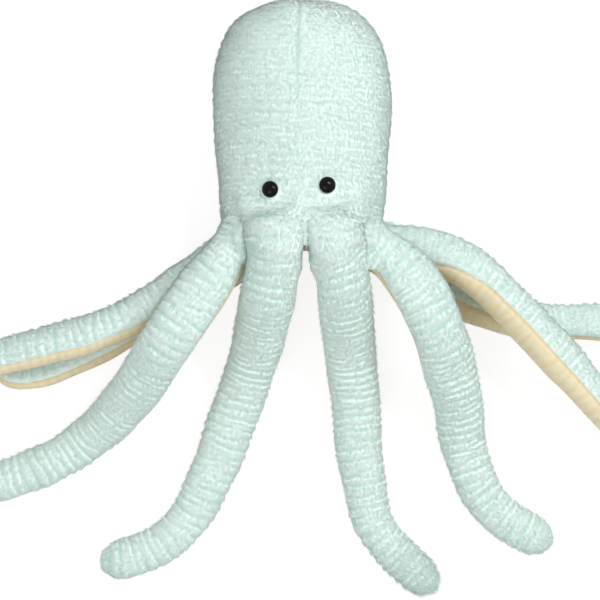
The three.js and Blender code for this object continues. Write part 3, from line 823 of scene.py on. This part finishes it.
def nearest_course(points, places, head_gap, gaps):
    """Where points of the head's cover lie along and round the tentacle nearest to them, and how far
    the nap has turned there from the head's way to that tentacle's."""
    course, share = places.copy(), np.zeros(len(points))
    for k, limb in enumerate(TENTACLES):
        near = (gaps[k] == gaps.min(axis=0)) & (gaps[k] < NEAR_LIMB)
        along, u, v, _ = limb.locate(points[near], ROOT_REACH)
        course[near] = np.stack([along + COURSE_APART * (k + 1), u, v], axis=1)
        share[near] = smoothstep(head_gap[near] - gaps[k][near], *TURN_OVER)
    return course, share


def face_seam(points, azimuth, travel, width):
    """1 in the middle of the seam down the face, and less to its sides and toward the tentacles."""
    turn = (azimuth - math.radians(FACE_TURN) + math.pi) % (2 * math.pi) - math.pi
    seam = seam_hollow(turn * np.hypot(points[:, 0], points[:, 2] - REST_LEVEL), width)
    return seam * (1 - FACE_SEAM_FADED_SHARE * smoothstep(travel, *FACE_SEAM_FADE))


def seat_eyes(points, height, keep):
    """Draws the head's cover in round the eyes, and keeps the pile off them."""
    for place in EYE_PLACES:
        away = np.linalg.norm(points - place, axis=1)
        height = lerp(height, -EYE_DIMPLE_DEPTH, np.exp(-(away / EYE_DIMPLE) ** 4))
        away = np.linalg.norm(points - place - EYE_CLEARING_SHIFT, axis=1)
        keep = keep * smoothstep(away, *EYE_CLEARING)
    return height, keep


def head_skin(sizes, nap):
    """The head's surface with its ridges, lumps, seam and eye dimples."""
    rings = int(HEAD.travel[-1] / sizes.cover_step)
    sides = int(math.pi * (HEAD_WIDTH + HEAD_THICK) / 2 / sizes.cover_step)
    stations = np.linspace(0, HEAD.travel[-1], rings + 2)[1:-1]
    points = head_form(stations, sides)
    travel = np.repeat(stations, sides)
    normals = surface_normals(points, rings, sides)
    _, head_gap, gaps = pillow_field(points)
    own = smoothstep(head_gap - gaps.min(axis=0), *UNDER_ANOTHER)
    places = HEAD.nap(points)
    course, share = nearest_course(points, places, head_gap, gaps)
    ridge, fine = nap.ridges(1 - share, places, course)
    lumps, locks = (wave_sum(points, waves).real for waves in (nap.lump_waves, nap.lock_waves))
    seam = face_seam(points, np.tile(turns(sides), rings), places[:, 0], sizes.seam_width)
    height = sizes.head_ridge * (ridge - RIDGE_LEVEL) + sizes.fine_ridge * (fine - RIDGE_LEVEL)
    height = height + sizes.lump_height * lumps + sizes.lock_height * locks
    height = height * (1 - SEAM_SMOOTH_SHARE * seam) - sizes.seam_depth * seam - OWN_DIP * own
    height, keep = seat_eyes(points, height, (1 - smoothstep(own, *HEAD_BARE)) * (travel <= HEAD.rim))
    points = points + normals * height[:, None]
    # Painted shade: darker in the creases and along the face seam; painted highlight: paler on the crests
    shade = shade_of(ridge, fine)
    shade = lerp(lerp(HEAD_SHADE[0], shade, HEAD_SHADE[1]), shade, share) * (1 - HEAD_SEAM_SHADE * seam)
    skin = Skin(rings, sides, points, shade, np.zeros_like(shade), keep, np.ones_like(shade), normals)
    skin.lie = lerp(CROWN_LIE, skin.lie, smoothstep(travel, *CROWN_LIE_REACH)[:, None])
    return skin, places


def limb_stations(limb, step):
    """Distances along a tentacle of its cover's rings, closer together at its two round ends."""
    count = int(limb.behind * ROOT_RING_SHARE / step)
    behind = -limb.behind * np.cos(np.linspace(0, math.pi / 2, count)[1:-1])
    body = np.arange(0, limb.length - TIP_LENGTH, step)
    tip = limb.length - TIP_LENGTH + TIP_LENGTH * np.sin(np.linspace(0, math.pi / 2, TIP_RINGS)[:-1])
    return np.concatenate([behind, body, tip])


def limb_form(limb, stations, sides):
    """A tentacle's smooth form, drawn out into the head at its root: its points in rings, their offsets
    across and toward the mint side, the ways outward and how far they lie from the centreline."""
    centre, across, mint = limb.frame(stations)
    half, thick = limb.size(stations)
    angle = turns(sides)
    u, v = half[:, None] * np.cos(angle), thick[:, None] * np.sin(angle)
    out = across[:, None] * u[..., None] + mint[:, None] * v[..., None]
    grid = centre[:, None] + out
    near = stations < ROOT_REACH_FADE[1]
    rise = drape(grid[near], unit(out[near]), LIMB_DRAPE_THINNING, LIMB_DRAPE_LOW, DRAPE_REACH, 0)
    rise *= 1 - smoothstep(stations[near], *ROOT_REACH_FADE)[:, None]
    if limb.run:
        hidden = smoothstep(stations[near], *[share * limb.run for share in HIDDEN_DRAPE_SHARES])
        rise *= hidden[:, None]
    grid[near] += unit(out[near]) * soften(rise, LIMB_DRAPE_ROUNDS)[..., None]
    depth = np.linalg.norm(grid - centre[:, None], axis=-1)
    return grid.reshape(-1, 3), u.ravel(), v.ravel(), unit(out).reshape(-1, 3), depth.ravel()


def limb_seams(limb, along, v, thick, width):
    """How far points lie on the mint side, from 0 to 1, and 1 in the middle of the two side seams."""
    from_seam = v - np.interp(along / limb.length, *zip(*limb.seams)) * thick
    top = smoothstep(from_seam, *MINT_EDGE)
    seam = seam_hollow(np.abs(from_seam) / np.maximum(thick, 1) * limb.radius, width)
    if limb.run:
        top = np.maximum(top, 1 - smoothstep(along, *ROOT_MINT))
        seam = seam * smoothstep(along, *ROOT_SEAM_START)
    return top, seam


def limb_skin(index, limb, sizes, nap):
    """A tentacle's surface: mint fur on top and short cream plush beneath, met at two side seams."""
    stations = limb_stations(limb, sizes.cover_step)
    rings = len(stations)
    sides = 2 * int(math.pi * LIMB_WIDTH / 2 / sizes.cover_step)
    points, u, v, outward, depth = limb_form(limb, stations, sides)
    normals = surface_normals(points, rings, sides)
    along = np.repeat(stations, sides)
    half, thick = limb.size(along)
    rows = along < ROOT_REACH_FADE[1]
    _, head_gap, gaps = pillow_field(points[rows])
    nearest = np.minimum(np.delete(gaps, index, axis=0).min(axis=0), head_gap)
    others = np.full(len(points), -FAR)
    others[rows] = gaps[index] - nearest
    under = smoothstep(others, *UNDER_ANOTHER)
    share = np.ones(len(points))
    share[rows] = smoothstep(head_gap - gaps[index], *TURN_OVER)
    places = np.stack([along + COURSE_APART * (index + 1), u, v], axis=1)
    ridge, fine = nap.ridges(1 - share, HEAD.nap(points), places)
    lumps, locks = (wave_sum(points, waves).real for waves in (nap.lump_waves, nap.lock_waves))
    top, seam = limb_seams(limb, along, v, thick, sizes.seam_width)
    broad = ridge - RIDGE_LEVEL
    fur = sizes.limb_ridge * broad + sizes.fine_ridge * (fine - RIDGE_LEVEL) + sizes.lock_height * locks
    height = lerp(sizes.cream_ridge * broad, fur + sizes.fur_stand, top)
    height = height + sizes.lump_height * lumps - sizes.seam_depth * seam
    height = height * np.clip(half / FLAT_TIP, 0, 1)
    dip = OWN_DIP * under + DEEP_DIP * smoothstep(others, *DEEP_UNDER)
    inward = np.minimum(dip, MOST_DIP_SHARE * depth)
    points = points + normals * height[:, None] - outward * inward[:, None]
    # Painted shade: darker in the creases and along the side seams; painted highlight: paler on the crests
    shade = lerp(lerp(CREAM_SHADE[0], ridge, CREAM_SHADE[1]), shade_of(ridge, fine), top)
    keep = 1 - smoothstep(under, *LIMB_BARE)
    long = lerp(1, limb.fluff, smoothstep(along / limb.length, *FLUFF_SHARES))
    skin = Skin(rings, sides, points, shade * (1 - LIMB_SEAM_SHADE * seam), 1 - top, keep, long, normals)
    return skin, places, top.reshape(rings, sides)[:-1].ravel() < CREAM_BELOW


def cover(name, skin, places, face_slots, materials):
    """The closed mesh of a finished surface, which carries its shade and the way along its nap."""
    # The ridge attribute carries the painted shade and highlight of the pile
    attributes = {"ridge": skin.shade, "nap": places * MM}
    return closed_mesh(name, skin.points, skin.rings, skin.sides, attributes, face_slots, materials)


def hair_roots(skin, sizes, part, draw):
    """Where the hairs stand: the corners of the cover's faces that they stand on and how much of each
    corner they take, spread evenly over the area that the pile clothes."""
    rings, sides = skin.rings, skin.sides
    grid = skin.points.reshape(rings, sides, 3)
    beside = np.roll(grid, -1, axis=1)
    area = np.linalg.norm(np.cross(grid[1:] - grid[:-1], beside[:-1] - grid[:-1]), axis=-1)
    around = np.arange(sides) / sides
    wanted = (around >= part[0]) & (around < part[1])
    thinner = lerp(1, sizes.plush_share, skin.cream.reshape(rings, sides)[:-1])
    weight = area * skin.keep.reshape(rings, sides)[:-1] * wanted * thinner
    running = np.cumsum(weight.ravel())
    count = int(min(running[-1] * sizes.hair_density, MOST_HAIRS))
    picks = np.searchsorted(running, (np.arange(count) + draw.uniform(size=count)) / count * running[-1])
    s, t = draw.uniform(size=(2, count))
    shares = [(1 - s) * (1 - t), s * (1 - t), s * t, (1 - s) * t]
    return quad_corners(np.minimum(picks, len(running) - 1), sides), shares


def pile(name, skin, nap, sizes, seed, part, materials):
    """The fur itself: closed three-sided hairs that lie along the nap in small tufts. part picks the
    cover's sides that this piece clothes, as shares of the way round."""
    draw = np.random.default_rng(seed)
    corners, shares = hair_roots(skin, sizes, part, draw)
    count = len(shares[0])

    def at(values):
        rows = [values[corner] for corner in corners]
        return sum((share if values.ndim == 1 else share[:, None]) * row for share, row in zip(shares, rows))

    root, normal, cream = at(skin.points), unit(at(skin.normals)), at(skin.cream)
    lie = at(skin.lie)
    lie = unit(lie - normal * along_rows(lie, normal)[:, None])
    across = np.cross(normal, lie)
    tuft = wave_sum(root, nap.lock_waves)
    aside = LOCK_ASIDE * tuft.real + draw.normal(0, HAIR_ASIDE, count)
    stand = sizes.hair_rise + LOCK_STAND * tuft.imag + draw.normal(0, HAIR_STAND, count)
    way = unit(lie + across * aside[:, None] + normal * np.clip(stand, *STAND_RANGE)[:, None])
    length = lerp(sizes.hair_length, sizes.plush_length, cream) * draw.uniform(*LENGTH_RANGE, count)
    length = length * at(skin.long)
    upward = unit(normal - way * along_rows(normal, way)[:, None])
    beside = np.cross(way, upward)
    roll = draw.normal(0, HAIR_ROLL, count)[:, None]
    flat = beside * np.cos(roll) + upward * np.sin(roll)
    deep = upward * np.cos(roll) - beside * np.sin(roll)
    thick = (sizes.hair_width / 2 * draw.uniform(*WIDTH_RANGE, count))[:, None]
    foot = root - normal * HAIR_ROOT
    tip = foot + way * (length + HAIR_ROOT)[:, None]
    places = np.stack([foot + flat * thick, foot - flat * thick, foot - deep * thick, tip], axis=1)
    places[..., 2] = np.maximum(places[..., 2], FLOOR_CLEAR)
    first = np.arange(count)[:, None] * 4
    faces = np.concatenate([first + row for row in ([0, 1, 2], [1, 0, 3], [2, 1, 3], [0, 2, 3])], axis=1)
    # Painted shade and highlight: each hair takes a darker colour in the creases and along the seams and a
    # paler one on the crests, with a little random tone
    shade = at(skin.shade) + draw.normal(0, HAIR_SHADE, count)
    mint = np.digitize(shade, MINT_SHADE_STEPS)
    slot = np.where(cream > CREAM_FROM, len(MINT_SHADES) + (shade > CREAM_SHADE_STEP), mint)
    mesh = smooth_mesh(name, places.reshape(-1, 3), [faces.reshape(-1, 3)], np.repeat(slot, 4), materials)
    soft = lerp(normal, unit(at(skin.smooth)), HAIR_SMOOTH_SHARE) + HAIR_SHEEN * way
    soft = unit(soft + draw.normal(0, HAIR_GLINT, (count, 3)))
    mesh.normals_split_custom_set_from_vertices(np.repeat(soft, 4, axis=0))
    return placed(name, mesh)


def blend_limb(piece):
    """Bakes the piece's place into its mesh."""
    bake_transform(piece)


def lathe(name, profile, point, normal, materials):
    """A closed turned piece from rows of radius and height, standing on its seat."""
    rows = np.array(profile)
    angle = turns(EYE_SIDES)
    across = unit(np.cross([0, 1, 0], normal))
    up = np.cross(normal, across)
    ring = across * np.cos(angle)[:, None] + up * np.sin(angle)[:, None]
    points = point + ring[None] * rows[:, 0, None, None] + normal * rows[:, 1, None, None]
    return closed_mesh(name, points.reshape(-1, 3), len(rows), EYE_SIDES, {}, None, materials)


def eye_profile():
    """From the top of the dome, over its brim and down the post."""
    rise = np.linspace(DOME_START_SHARE, 1, DOME_ROWS) * math.pi / 2
    dome = [
        (EYE_RADIUS * math.sin(a), EYE_FIT + EYE_BRIM + (EYE_HEIGHT - EYE_BRIM) * math.cos(a)) for a in rise
    ]
    brim = [(EYE_RADIUS - inset, EYE_FIT + height) for inset, height in EYE_BRIM_STEPS]
    return [*dome, *brim, (EYE_POST, EYE_FIT), (EYE_POST, -EYE_TAIL), (EYE_POST / 2, -EYE_TAIL)]


def base_panel(materials):
    """The cream panel as a thin crowned pad under the head."""
    rim = HEAD_WIDTH / 2 * HEAD_WIDTH_SHARES[-1][1]
    outward = np.linspace(BASE_START_SHARE, 1, BASE_RINGS)
    share = np.concatenate([outward, outward[::-1]])
    face = np.repeat([-1, 1], BASE_RINGS)
    crown = np.sqrt(np.maximum(1 - share ** 4, 0))
    angle = turns(BASE_SIDES)
    x = rim * share[:, None] * np.cos(angle)
    y = BASE_LEVEL - SEAM_GAP - BASE_SINK + face * (BASE_EDGE + crown * BASE_CROWN)
    z = RING_HEIGHT + rim * DEPTH_SHARE * share[:, None] * np.sin(angle)
    points = np.stack([x, y[:, None] + 0 * x, z], axis=-1).reshape(-1, 3)
    attributes = {"ridge": np.full(len(points), BASE_SHADE), "nap": points * MM}
    return closed_mesh("base_panel_cover", points, len(share), BASE_SIDES, attributes, None, materials)


def linear(colour):
    """A colour written as sRGB hex, as the linear values that Blender works in."""
    parts = [int(colour[k:k + 2], 16) / 255 for k in (1, 3, 5)]
    return [c / 12.92 if c <= 0.04045 else ((c + 0.055) / 1.055) ** 2.4 for c in parts]


def rgba(colour):
    return (*colour, 1)


def add(tree, kind, settings=None, **links):
    """Adds a node with its settings, and fills its sockets with values or other nodes' outputs."""
    node = tree.nodes.new(kind)
    for key, value in (settings or {}).items():
        setattr(node, key, value)
    for key, value in links.items():
        socket = node.inputs[int(key[1:])] if key[1:].isdigit() else node.inputs[key.replace("_", " ")]
        if isinstance(value, bpy.types.NodeSocket):
            tree.links.new(value, socket)
        else:
            socket.default_value = value
    return node


def bare_material(name):
    """A material with no nodes yet, and its node tree."""
    material = bpy.data.materials.new(name)
    material.use_nodes = True
    material.node_tree.nodes.clear()
    return material, material.node_tree


def crushed_fur(name, colours, fibre, bump_depth):
    """The ground of long polyester faux fur, crushed into ridges: silky, and pale on the crests with a
    painted highlight for the light on the tips of the pile, deeper and greener down in the creases with
    painted shade, and with fine streaks where the fibres lie along the nap. A single fibre is too fine to
    show, so a streak is as wide as a tuft of them."""
    material, tree = bare_material(name)
    ridge = add(tree, "ShaderNodeAttribute", {"attribute_name": "ridge"}).outputs["Fac"]
    nap = add(tree, "ShaderNodeAttribute", {"attribute_name": "nap"}).outputs["Vector"]
    stretch = add(tree, "ShaderNodeMapping", _0=nap, _3=STREAK_STRETCH)
    streak = add(tree, "ShaderNodeTexNoise", Vector=stretch.outputs[0], Scale=1 / (fibre * MM),
                 Detail=3.0, Roughness=0.6)
    cloud = add(tree, "ShaderNodeTexNoise", Vector=nap, Scale=1 / (CLOUD_SIZE * MM), Detail=2.0)
    shade = ridge
    for pattern, strength in ((streak, STREAK_SHADE), (cloud, CLOUD_SHADE)):
        shade = add(tree, "ShaderNodeMath", {"operation": "MULTIPLY_ADD"}, _0=pattern.outputs[0],
                    _1=strength, _2=shade).outputs[0]
    # Painted shade and highlight: the ramp turns the ridge attribute into darker, greener colour in the
    # creases and paler colour on the crests
    ramp = add(tree, "ShaderNodeValToRGB", _0=shade)
    stops = ramp.color_ramp.elements
    stops.new(SHADE_STOPS[1])
    for stop, position, colour in zip(stops, SHADE_STOPS, colours):
        stop.position, stop.color = position, rgba(colour)
    rough = add(tree, "ShaderNodeBump", Strength=0.3, Distance=bump_depth * MM, Height=streak.outputs[0])
    shader = add(tree, "ShaderNodeBsdfPrincipled", Base_Color=ramp.outputs[0], Roughness=0.9,
                 Normal=rough.outputs[0], Sheen_Weight=0.2, Sheen_Roughness=0.5, Specular_IOR_Level=0.1)
    add(tree, "ShaderNodeOutputMaterial", Surface=shader.outputs[0])
    return material


def fibre_material(name, colour):
    """A hair of the pile: matt polyester with a faint silky glow at its edge. Hairs of several shades lie
    together: darker ones in the creases as painted shade, paler ones on the crests as a painted highlight,
    and a little tone that differs at random."""
    material, tree = bare_material(name)
    shader = add(tree, "ShaderNodeBsdfPrincipled", Base_Color=rgba(colour), Roughness=0.75,
                 Sheen_Weight=0.15, Specular_IOR_Level=0.15)
    add(tree, "ShaderNodeOutputMaterial", Surface=shader.outputs[0])
    return material


def moulded_plastic(name, colour):
    """Injection-moulded acrylic or polyethylene with a polished face: an even colour, a gloss that
    varies a little with the flow of the melt, and on the black eyes one small sharp highlight."""
    material, tree = bare_material(name)
    place = add(tree, "ShaderNodeTexCoord")
    flow = add(tree, "ShaderNodeTexNoise", Vector=place.outputs["Object"], Scale=1 / (FLOW_SIZE * MM))
    rough = add(tree, "ShaderNodeMapRange", _0=flow.outputs[0], _3=0.08, _4=0.13)
    shader = add(tree, "ShaderNodeBsdfPrincipled", Base_Color=rgba(colour), Roughness=rough.outputs[0],
                 Specular_IOR_Level=0.12)
    add(tree, "ShaderNodeOutputMaterial", Surface=shader.outputs[0])
    return material


def length_property(name, description, millimetres):
    return bpy.props.FloatProperty(
        name=name, description=description, default=millimetres * MM, unit="LENGTH", precision=4)


def number_property(name, description, value, subtype="NONE"):
    return bpy.props.FloatProperty(name=name, description=description, default=value, subtype=subtype)


class PillowSizes(bpy.types.PropertyGroup):
    """Sizes of the fur, given here in millimetres."""
    cover_step: length_property("Cover step", "Spacing of the points that a cover is made of", 1.7)
    ridge_spacing: length_property("Ridge spacing", "How far apart the tentacles' ridges lie", 11)
    head_spacing: length_property("Head ridge spacing", "How far apart the head's ridges lie", 11)
    fine_spacing: length_property("Fine ridge spacing", "How far apart the fine ridges lie", 5)
    limb_ridge: length_property("Tentacle ridge", "How high the ridges stand on the tentacles", 1.45)
    head_ridge: length_property("Head ridge", "How high the ridges stand on the head", 0.8)
    fine_ridge: length_property("Fine ridge", "How high the fine ridges stand", 0.3)
    cream_ridge: length_property("Underside ridge", "How uneven the short cream plush is", 0.2)
    fur_stand: length_property("Fur stand", "How far the mint fur stands proud of the cream plush", 1.0)
    lock_spacing: length_property("Lock spacing", "Size of the small locks in the pile", 4.5)
    lock_height: length_property("Lock height", "How high the small locks stand", 0.15)
    lump_spacing: length_property("Lump spacing", "Size of the lumps in the stuffing", 62)
    lump_height: length_property("Lump height", "How high the lumps in the stuffing stand", 1.0)
    seam_width: length_property("Seam width", "Half width of the hollow along a seam", 2.2)
    seam_depth: length_property("Seam depth", "How deep a seam pulls the cover in", 1.0)
    fibre: length_property("Fibre", "Width of a tuft of fibres in the ground of the fur", 1.4)
    hair_length: length_property("Hair length", "Length of the mint hairs", 5.6)
    plush_length: length_property("Plush length", "Length of the cream hairs", 2.2)
    hair_width: length_property("Hair width", "Thickness of a hair, as coarse as it needs to be to show", 0.5)
    hair_rise: number_property("Hair rise", "How steeply the hairs stand, as a slope", 0.36)
    hair_density: number_property("Hair density", "Hairs on a square millimetre", 0.68)
    plush_share: number_property(
        "Plush share", "Density of the cream hairs against the mint ones", 0.5, "FACTOR")


def fur_sizes(context):
    """The sizes of the fur, with its lengths in millimetres and in the single precision of properties."""
    group = context.scene.pillow_sizes
    facts = group.bl_rna.properties
    return SimpleNamespace(**{
        key: float(np.float32(getattr(group, key) / (MM if facts[key].unit == "LENGTH" else 1)))
        for key in PillowSizes.__annotations__
    })


def colour_property(name, description, value):
    return bpy.props.FloatVectorProperty(
        name=name, description=description, subtype="COLOR", size=3, default=linear(value))


class PillowColours(bpy.types.PropertyGroup):
    """Colours of the fur, plush and eyes."""
    # Painted shade and highlight: the mint crease colour is darker and greener for the shade down in the
    # creases, the mint crest colour paler for light on the crests; the mint body colour is the fur's own
    mint_crease_painted_shade: colour_property("Mint crease", "Mint fur down in its creases", "#c2e2d5")
    mint_body: colour_property("Mint body", "Mint fur on the sides of its ridges", "#d5e9e3")
    mint_crest_painted_highlight: colour_property("Mint crest", "Tips of the mint fur", "#dfefea")
    # Painted shade and highlight: the cream crease colour is darker for the shade in the hollows, the cream
    # crest colour paler for light on the crests; the cream body colour is the plush's own
    cream_crease_painted_shade: colour_property("Cream crease", "Cream plush in its hollows", "#cbbd97")
    cream_body: colour_property("Cream body", "Cream plush", "#d2c5a0")
    cream_crest_painted_highlight: colour_property("Cream crest", "Tips of the cream plush", "#ded2b2")
    eye: colour_property("Eye", "Moulded plastic of the eyes", "#060607")
    washer: colour_property("Washer", "Moulded washers that hold the eyes", "#dcdcd6")


MINT_SHADES = ("mint_crease_painted_shade", "mint_body", "mint_crest_painted_highlight")
CREAM_SHADES = ("cream_crease_painted_shade", "cream_body", "cream_crest_painted_highlight")


def fur_materials(context):
    """The grounds of the mint fur and the cream plush, made once."""
    colours, fibre = context.scene.pillow_colours, fur_sizes(context).fibre
    if "mint_crushed_fur" not in bpy.data.materials:
        mint, cream = ([getattr(colours, name) for name in names] for names in (MINT_SHADES, CREAM_SHADES))
        crushed_fur("mint_crushed_fur", mint, fibre, MINT_BUMP)
        crushed_fur("cream_short_plush", cream, fibre * CREAM_FIBRE_SHARE, CREAM_BUMP)
    return [bpy.data.materials["mint_crushed_fur"], bpy.data.materials["cream_short_plush"]]


def hair_materials(context):
    """The shades of the hairs, from mint creases to cream crests, made once."""
    names = [*MINT_SHADES, *CREAM_SHADES[1:]]
    if f"{names[0]}_fibre" not in bpy.data.materials:
        for name in names:
            fibre_material(f"{name}_fibre", getattr(context.scene.pillow_colours, name))
    return [bpy.data.materials[f"{name}_fibre"] for name in names]


class PILLOW_OT_head(bpy.types.Operator):
    """Make the head's fur cover"""
    bl_idname = "pillow.head"
    bl_label = "Head cover"

    def execute(self, context):
        sizes = fur_sizes(context)
        nap = Nap(sizes)
        skin, places = head_skin(sizes, nap)
        made = cover("head_cover", skin, places, None, fur_materials(context)[:1])
        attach(made, "head")
        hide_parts("head_cover_front_left", "head_cover_front_right", "head_cover_back",
                    "head_filling")
        for k, side in enumerate(("right", "left")):
            part = (k / 2, (k + 1) / 2)
            hairs = pile(f"head_fur_{side}", skin, nap, sizes, HAIR_SEED + k, part, hair_materials(context))
            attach(hairs, "head")
        return {"FINISHED"}


class PILLOW_OT_tentacles(bpy.types.Operator):
    """Make the eight tentacles' covers"""
    bl_idname = "pillow.tentacles"
    bl_label = "Tentacle covers"

    def execute(self, context):
        sizes = fur_sizes(context)
        nap = Nap(sizes)
        for index, limb in enumerate(TENTACLES):
            skin, places, face_slots = limb_skin(index, limb, sizes, nap)
            made = cover(f"{limb.name}_cover", skin, places, face_slots, fur_materials(context))
            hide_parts(f"{limb.name}_top", f"{limb.name}_underside", f"{limb.name}_filling")
            blend_limb(made)
            seed = LIMB_HAIR_SEED + index
            hairs = pile(f"{limb.name}_fur", skin, nap, sizes, seed, (0, 1), hair_materials(context))
            blend_limb(hairs)
        return {"FINISHED"}


class PILLOW_OT_base(bpy.types.Operator):
    """Make the cream panel between the tentacles' roots"""
    bl_idname = "pillow.base"
    bl_label = "Base panel"

    def execute(self, context):
        made = base_panel(fur_materials(context)[1:])
        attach(made, "head")
        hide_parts("base_panel")
        return {"FINISHED"}


class PILLOW_OT_eyes(bpy.types.Operator):
    """Make the two domed safety eyes and finish their washers"""
    bl_idname = "pillow.eyes"
    bl_label = "Eyes"

    def execute(self, context):
        colours = context.scene.pillow_colours
        black = moulded_plastic("polished_acrylic", colours.eye)
        for side, name in ((-1, "left"), (1, "right")):
            made = lathe(f"eye_{name}_dome", eye_profile(), *eye_seat(side), [black])
            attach(made, "head")
            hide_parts(f"eye_{name}")
        washer = moulded_plastic("moulded_polyethylene", colours.washer)
        for name in ("eye_washer_left", "eye_washer_right"):
            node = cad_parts[name]
            node.data.materials.clear()
            node.data.materials.append(washer)
        return {"FINISHED"}


def area_light(name, place, size, watts):
    """A round lamp that faces the pillow."""
    lamp = bpy.data.lights.new(name, "AREA")
    lamp.shape, lamp.size, lamp.energy = "DISK", size, watts
    made = placed(name, lamp)
    made.location = place
    made.rotation_euler = (Vector(LIT_PLACE) - Vector(place)).to_track_quat("-Z", "Y").to_euler()


def seen_directly(tree):
    """1 where the camera, a reflection or clear plastic looks at a surface, and 0 for its light."""
    path = add(tree, "ShaderNodeLightPath").outputs
    seen = path["Is Camera Ray"]
    for ray in ("Is Glossy Ray", "Is Transmission Ray"):
        seen = add(tree, "ShaderNodeMath", {"operation": "MAXIMUM"}, _0=seen, _1=path[ray]).outputs[0]
    return seen


def paper_floor():
    """Matt white paper, which shows white and keeps a soft shadow."""
    material, tree = bare_material("matt_white_paper")
    plain = add(tree, "ShaderNodeBsdfDiffuse", Color=rgba(linear("#f2f2f0")))
    dim = add(tree, "ShaderNodeBsdfDiffuse", Color=rgba([0.22] * 3))
    glow = add(tree, "ShaderNodeEmission", Color=rgba([1] * 3), Strength=0.84)
    shown = add(tree, "ShaderNodeAddShader", _0=dim.outputs[0], _1=glow.outputs[0])
    both = add(tree, "ShaderNodeMixShader", _0=seen_directly(tree), _1=plain.outputs[0], _2=shown.outputs[0])
    add(tree, "ShaderNodeOutputMaterial", Surface=both.outputs[0])
    mesh = bpy.data.meshes.new("floor")
    ends = ((-1, -1), (1, -1), (1, 1), (-1, 1))
    corners = [(FLOOR_REACH * x, FLOOR_REACH * y, FLOOR_LEVEL) for x, y in ends]
    mesh.from_pydata(corners, [], [(0, 1, 2, 3)])
    mesh.materials.append(material)
    return placed("floor", mesh)


def white_room():
    """A room that shows white and lights the pillow softly from all sides."""
    world = bpy.data.worlds.new("studio")
    world.use_nodes = True
    tree = world.node_tree
    tree.nodes.clear()
    soft, white = (
        add(tree, "ShaderNodeBackground", Color=rgba([1] * 3), Strength=level) for level in (ROOM_LIGHT, 1)
    )
    both = add(tree, "ShaderNodeMixShader", _0=seen_directly(tree), _1=soft.outputs[0], _2=white.outputs[0])
    add(tree, "ShaderNodeOutputWorld", Surface=both.outputs[0])
    return world


def camera_above():
    """A camera that looks straight down and sees a set width of the floor."""
    lens = bpy.data.cameras.new("camera")
    lens.sensor_width = SENSOR_WIDTH
    lens.lens = lens.sensor_width * CAMERA_PLACE[2] / SEEN_WIDTH
    camera = placed("camera", lens)
    camera.location = CAMERA_PLACE
    return camera


class PILLOW_OT_stage(bpy.types.Operator):
    """Make the floor, the lights and the camera"""
    bl_idname = "pillow.stage"
    bl_label = "Stage"

    def execute(self, context):
        paper_floor()
        context.scene.world = white_room()
        for light in LIGHTS:
            area_light(**light)
        context.scene.camera = camera_above()
        context.scene.view_settings.view_transform = "Standard"
        return {"FINISHED"}


class PILLOW_PT_panel(bpy.types.Panel):
    """The pillow's pieces, sizes and colours"""
    bl_idname = "PILLOW_PT_panel"
    bl_label = "Plush octopus pillow"
    bl_space_type = "VIEW_3D"
    bl_region_type = "UI"
    bl_category = "Pillow"

    def draw(self, context):
        for operator in OPERATORS:
            self.layout.operator(operator.bl_idname)
        for group in (context.scene.pillow_sizes, context.scene.pillow_colours):
            for key in group.__annotations__:
                self.layout.prop(group, key)


OPERATORS = (PILLOW_OT_head, PILLOW_OT_tentacles, PILLOW_OT_base, PILLOW_OT_eyes, PILLOW_OT_stage)
CLASSES = (PillowSizes, PillowColours, *OPERATORS, PILLOW_PT_panel)


def register():
    for made in CLASSES:
        bpy.utils.register_class(made)
    bpy.types.Scene.pillow_sizes = bpy.props.PointerProperty(type=PillowSizes)
    bpy.types.Scene.pillow_colours = bpy.props.PointerProperty(type=PillowColours)


def unregister():
    del bpy.types.Scene.pillow_colours
    del bpy.types.Scene.pillow_sizes
    for made in reversed(CLASSES):
        bpy.utils.unregister_class(made)


def main():
    register()
    bpy.ops.pillow.head()
    bpy.ops.pillow.tentacles()
    bpy.ops.pillow.base()
    bpy.ops.pillow.eyes()
    bpy.ops.pillow.stage()


if __name__ == "__main__":
    main()
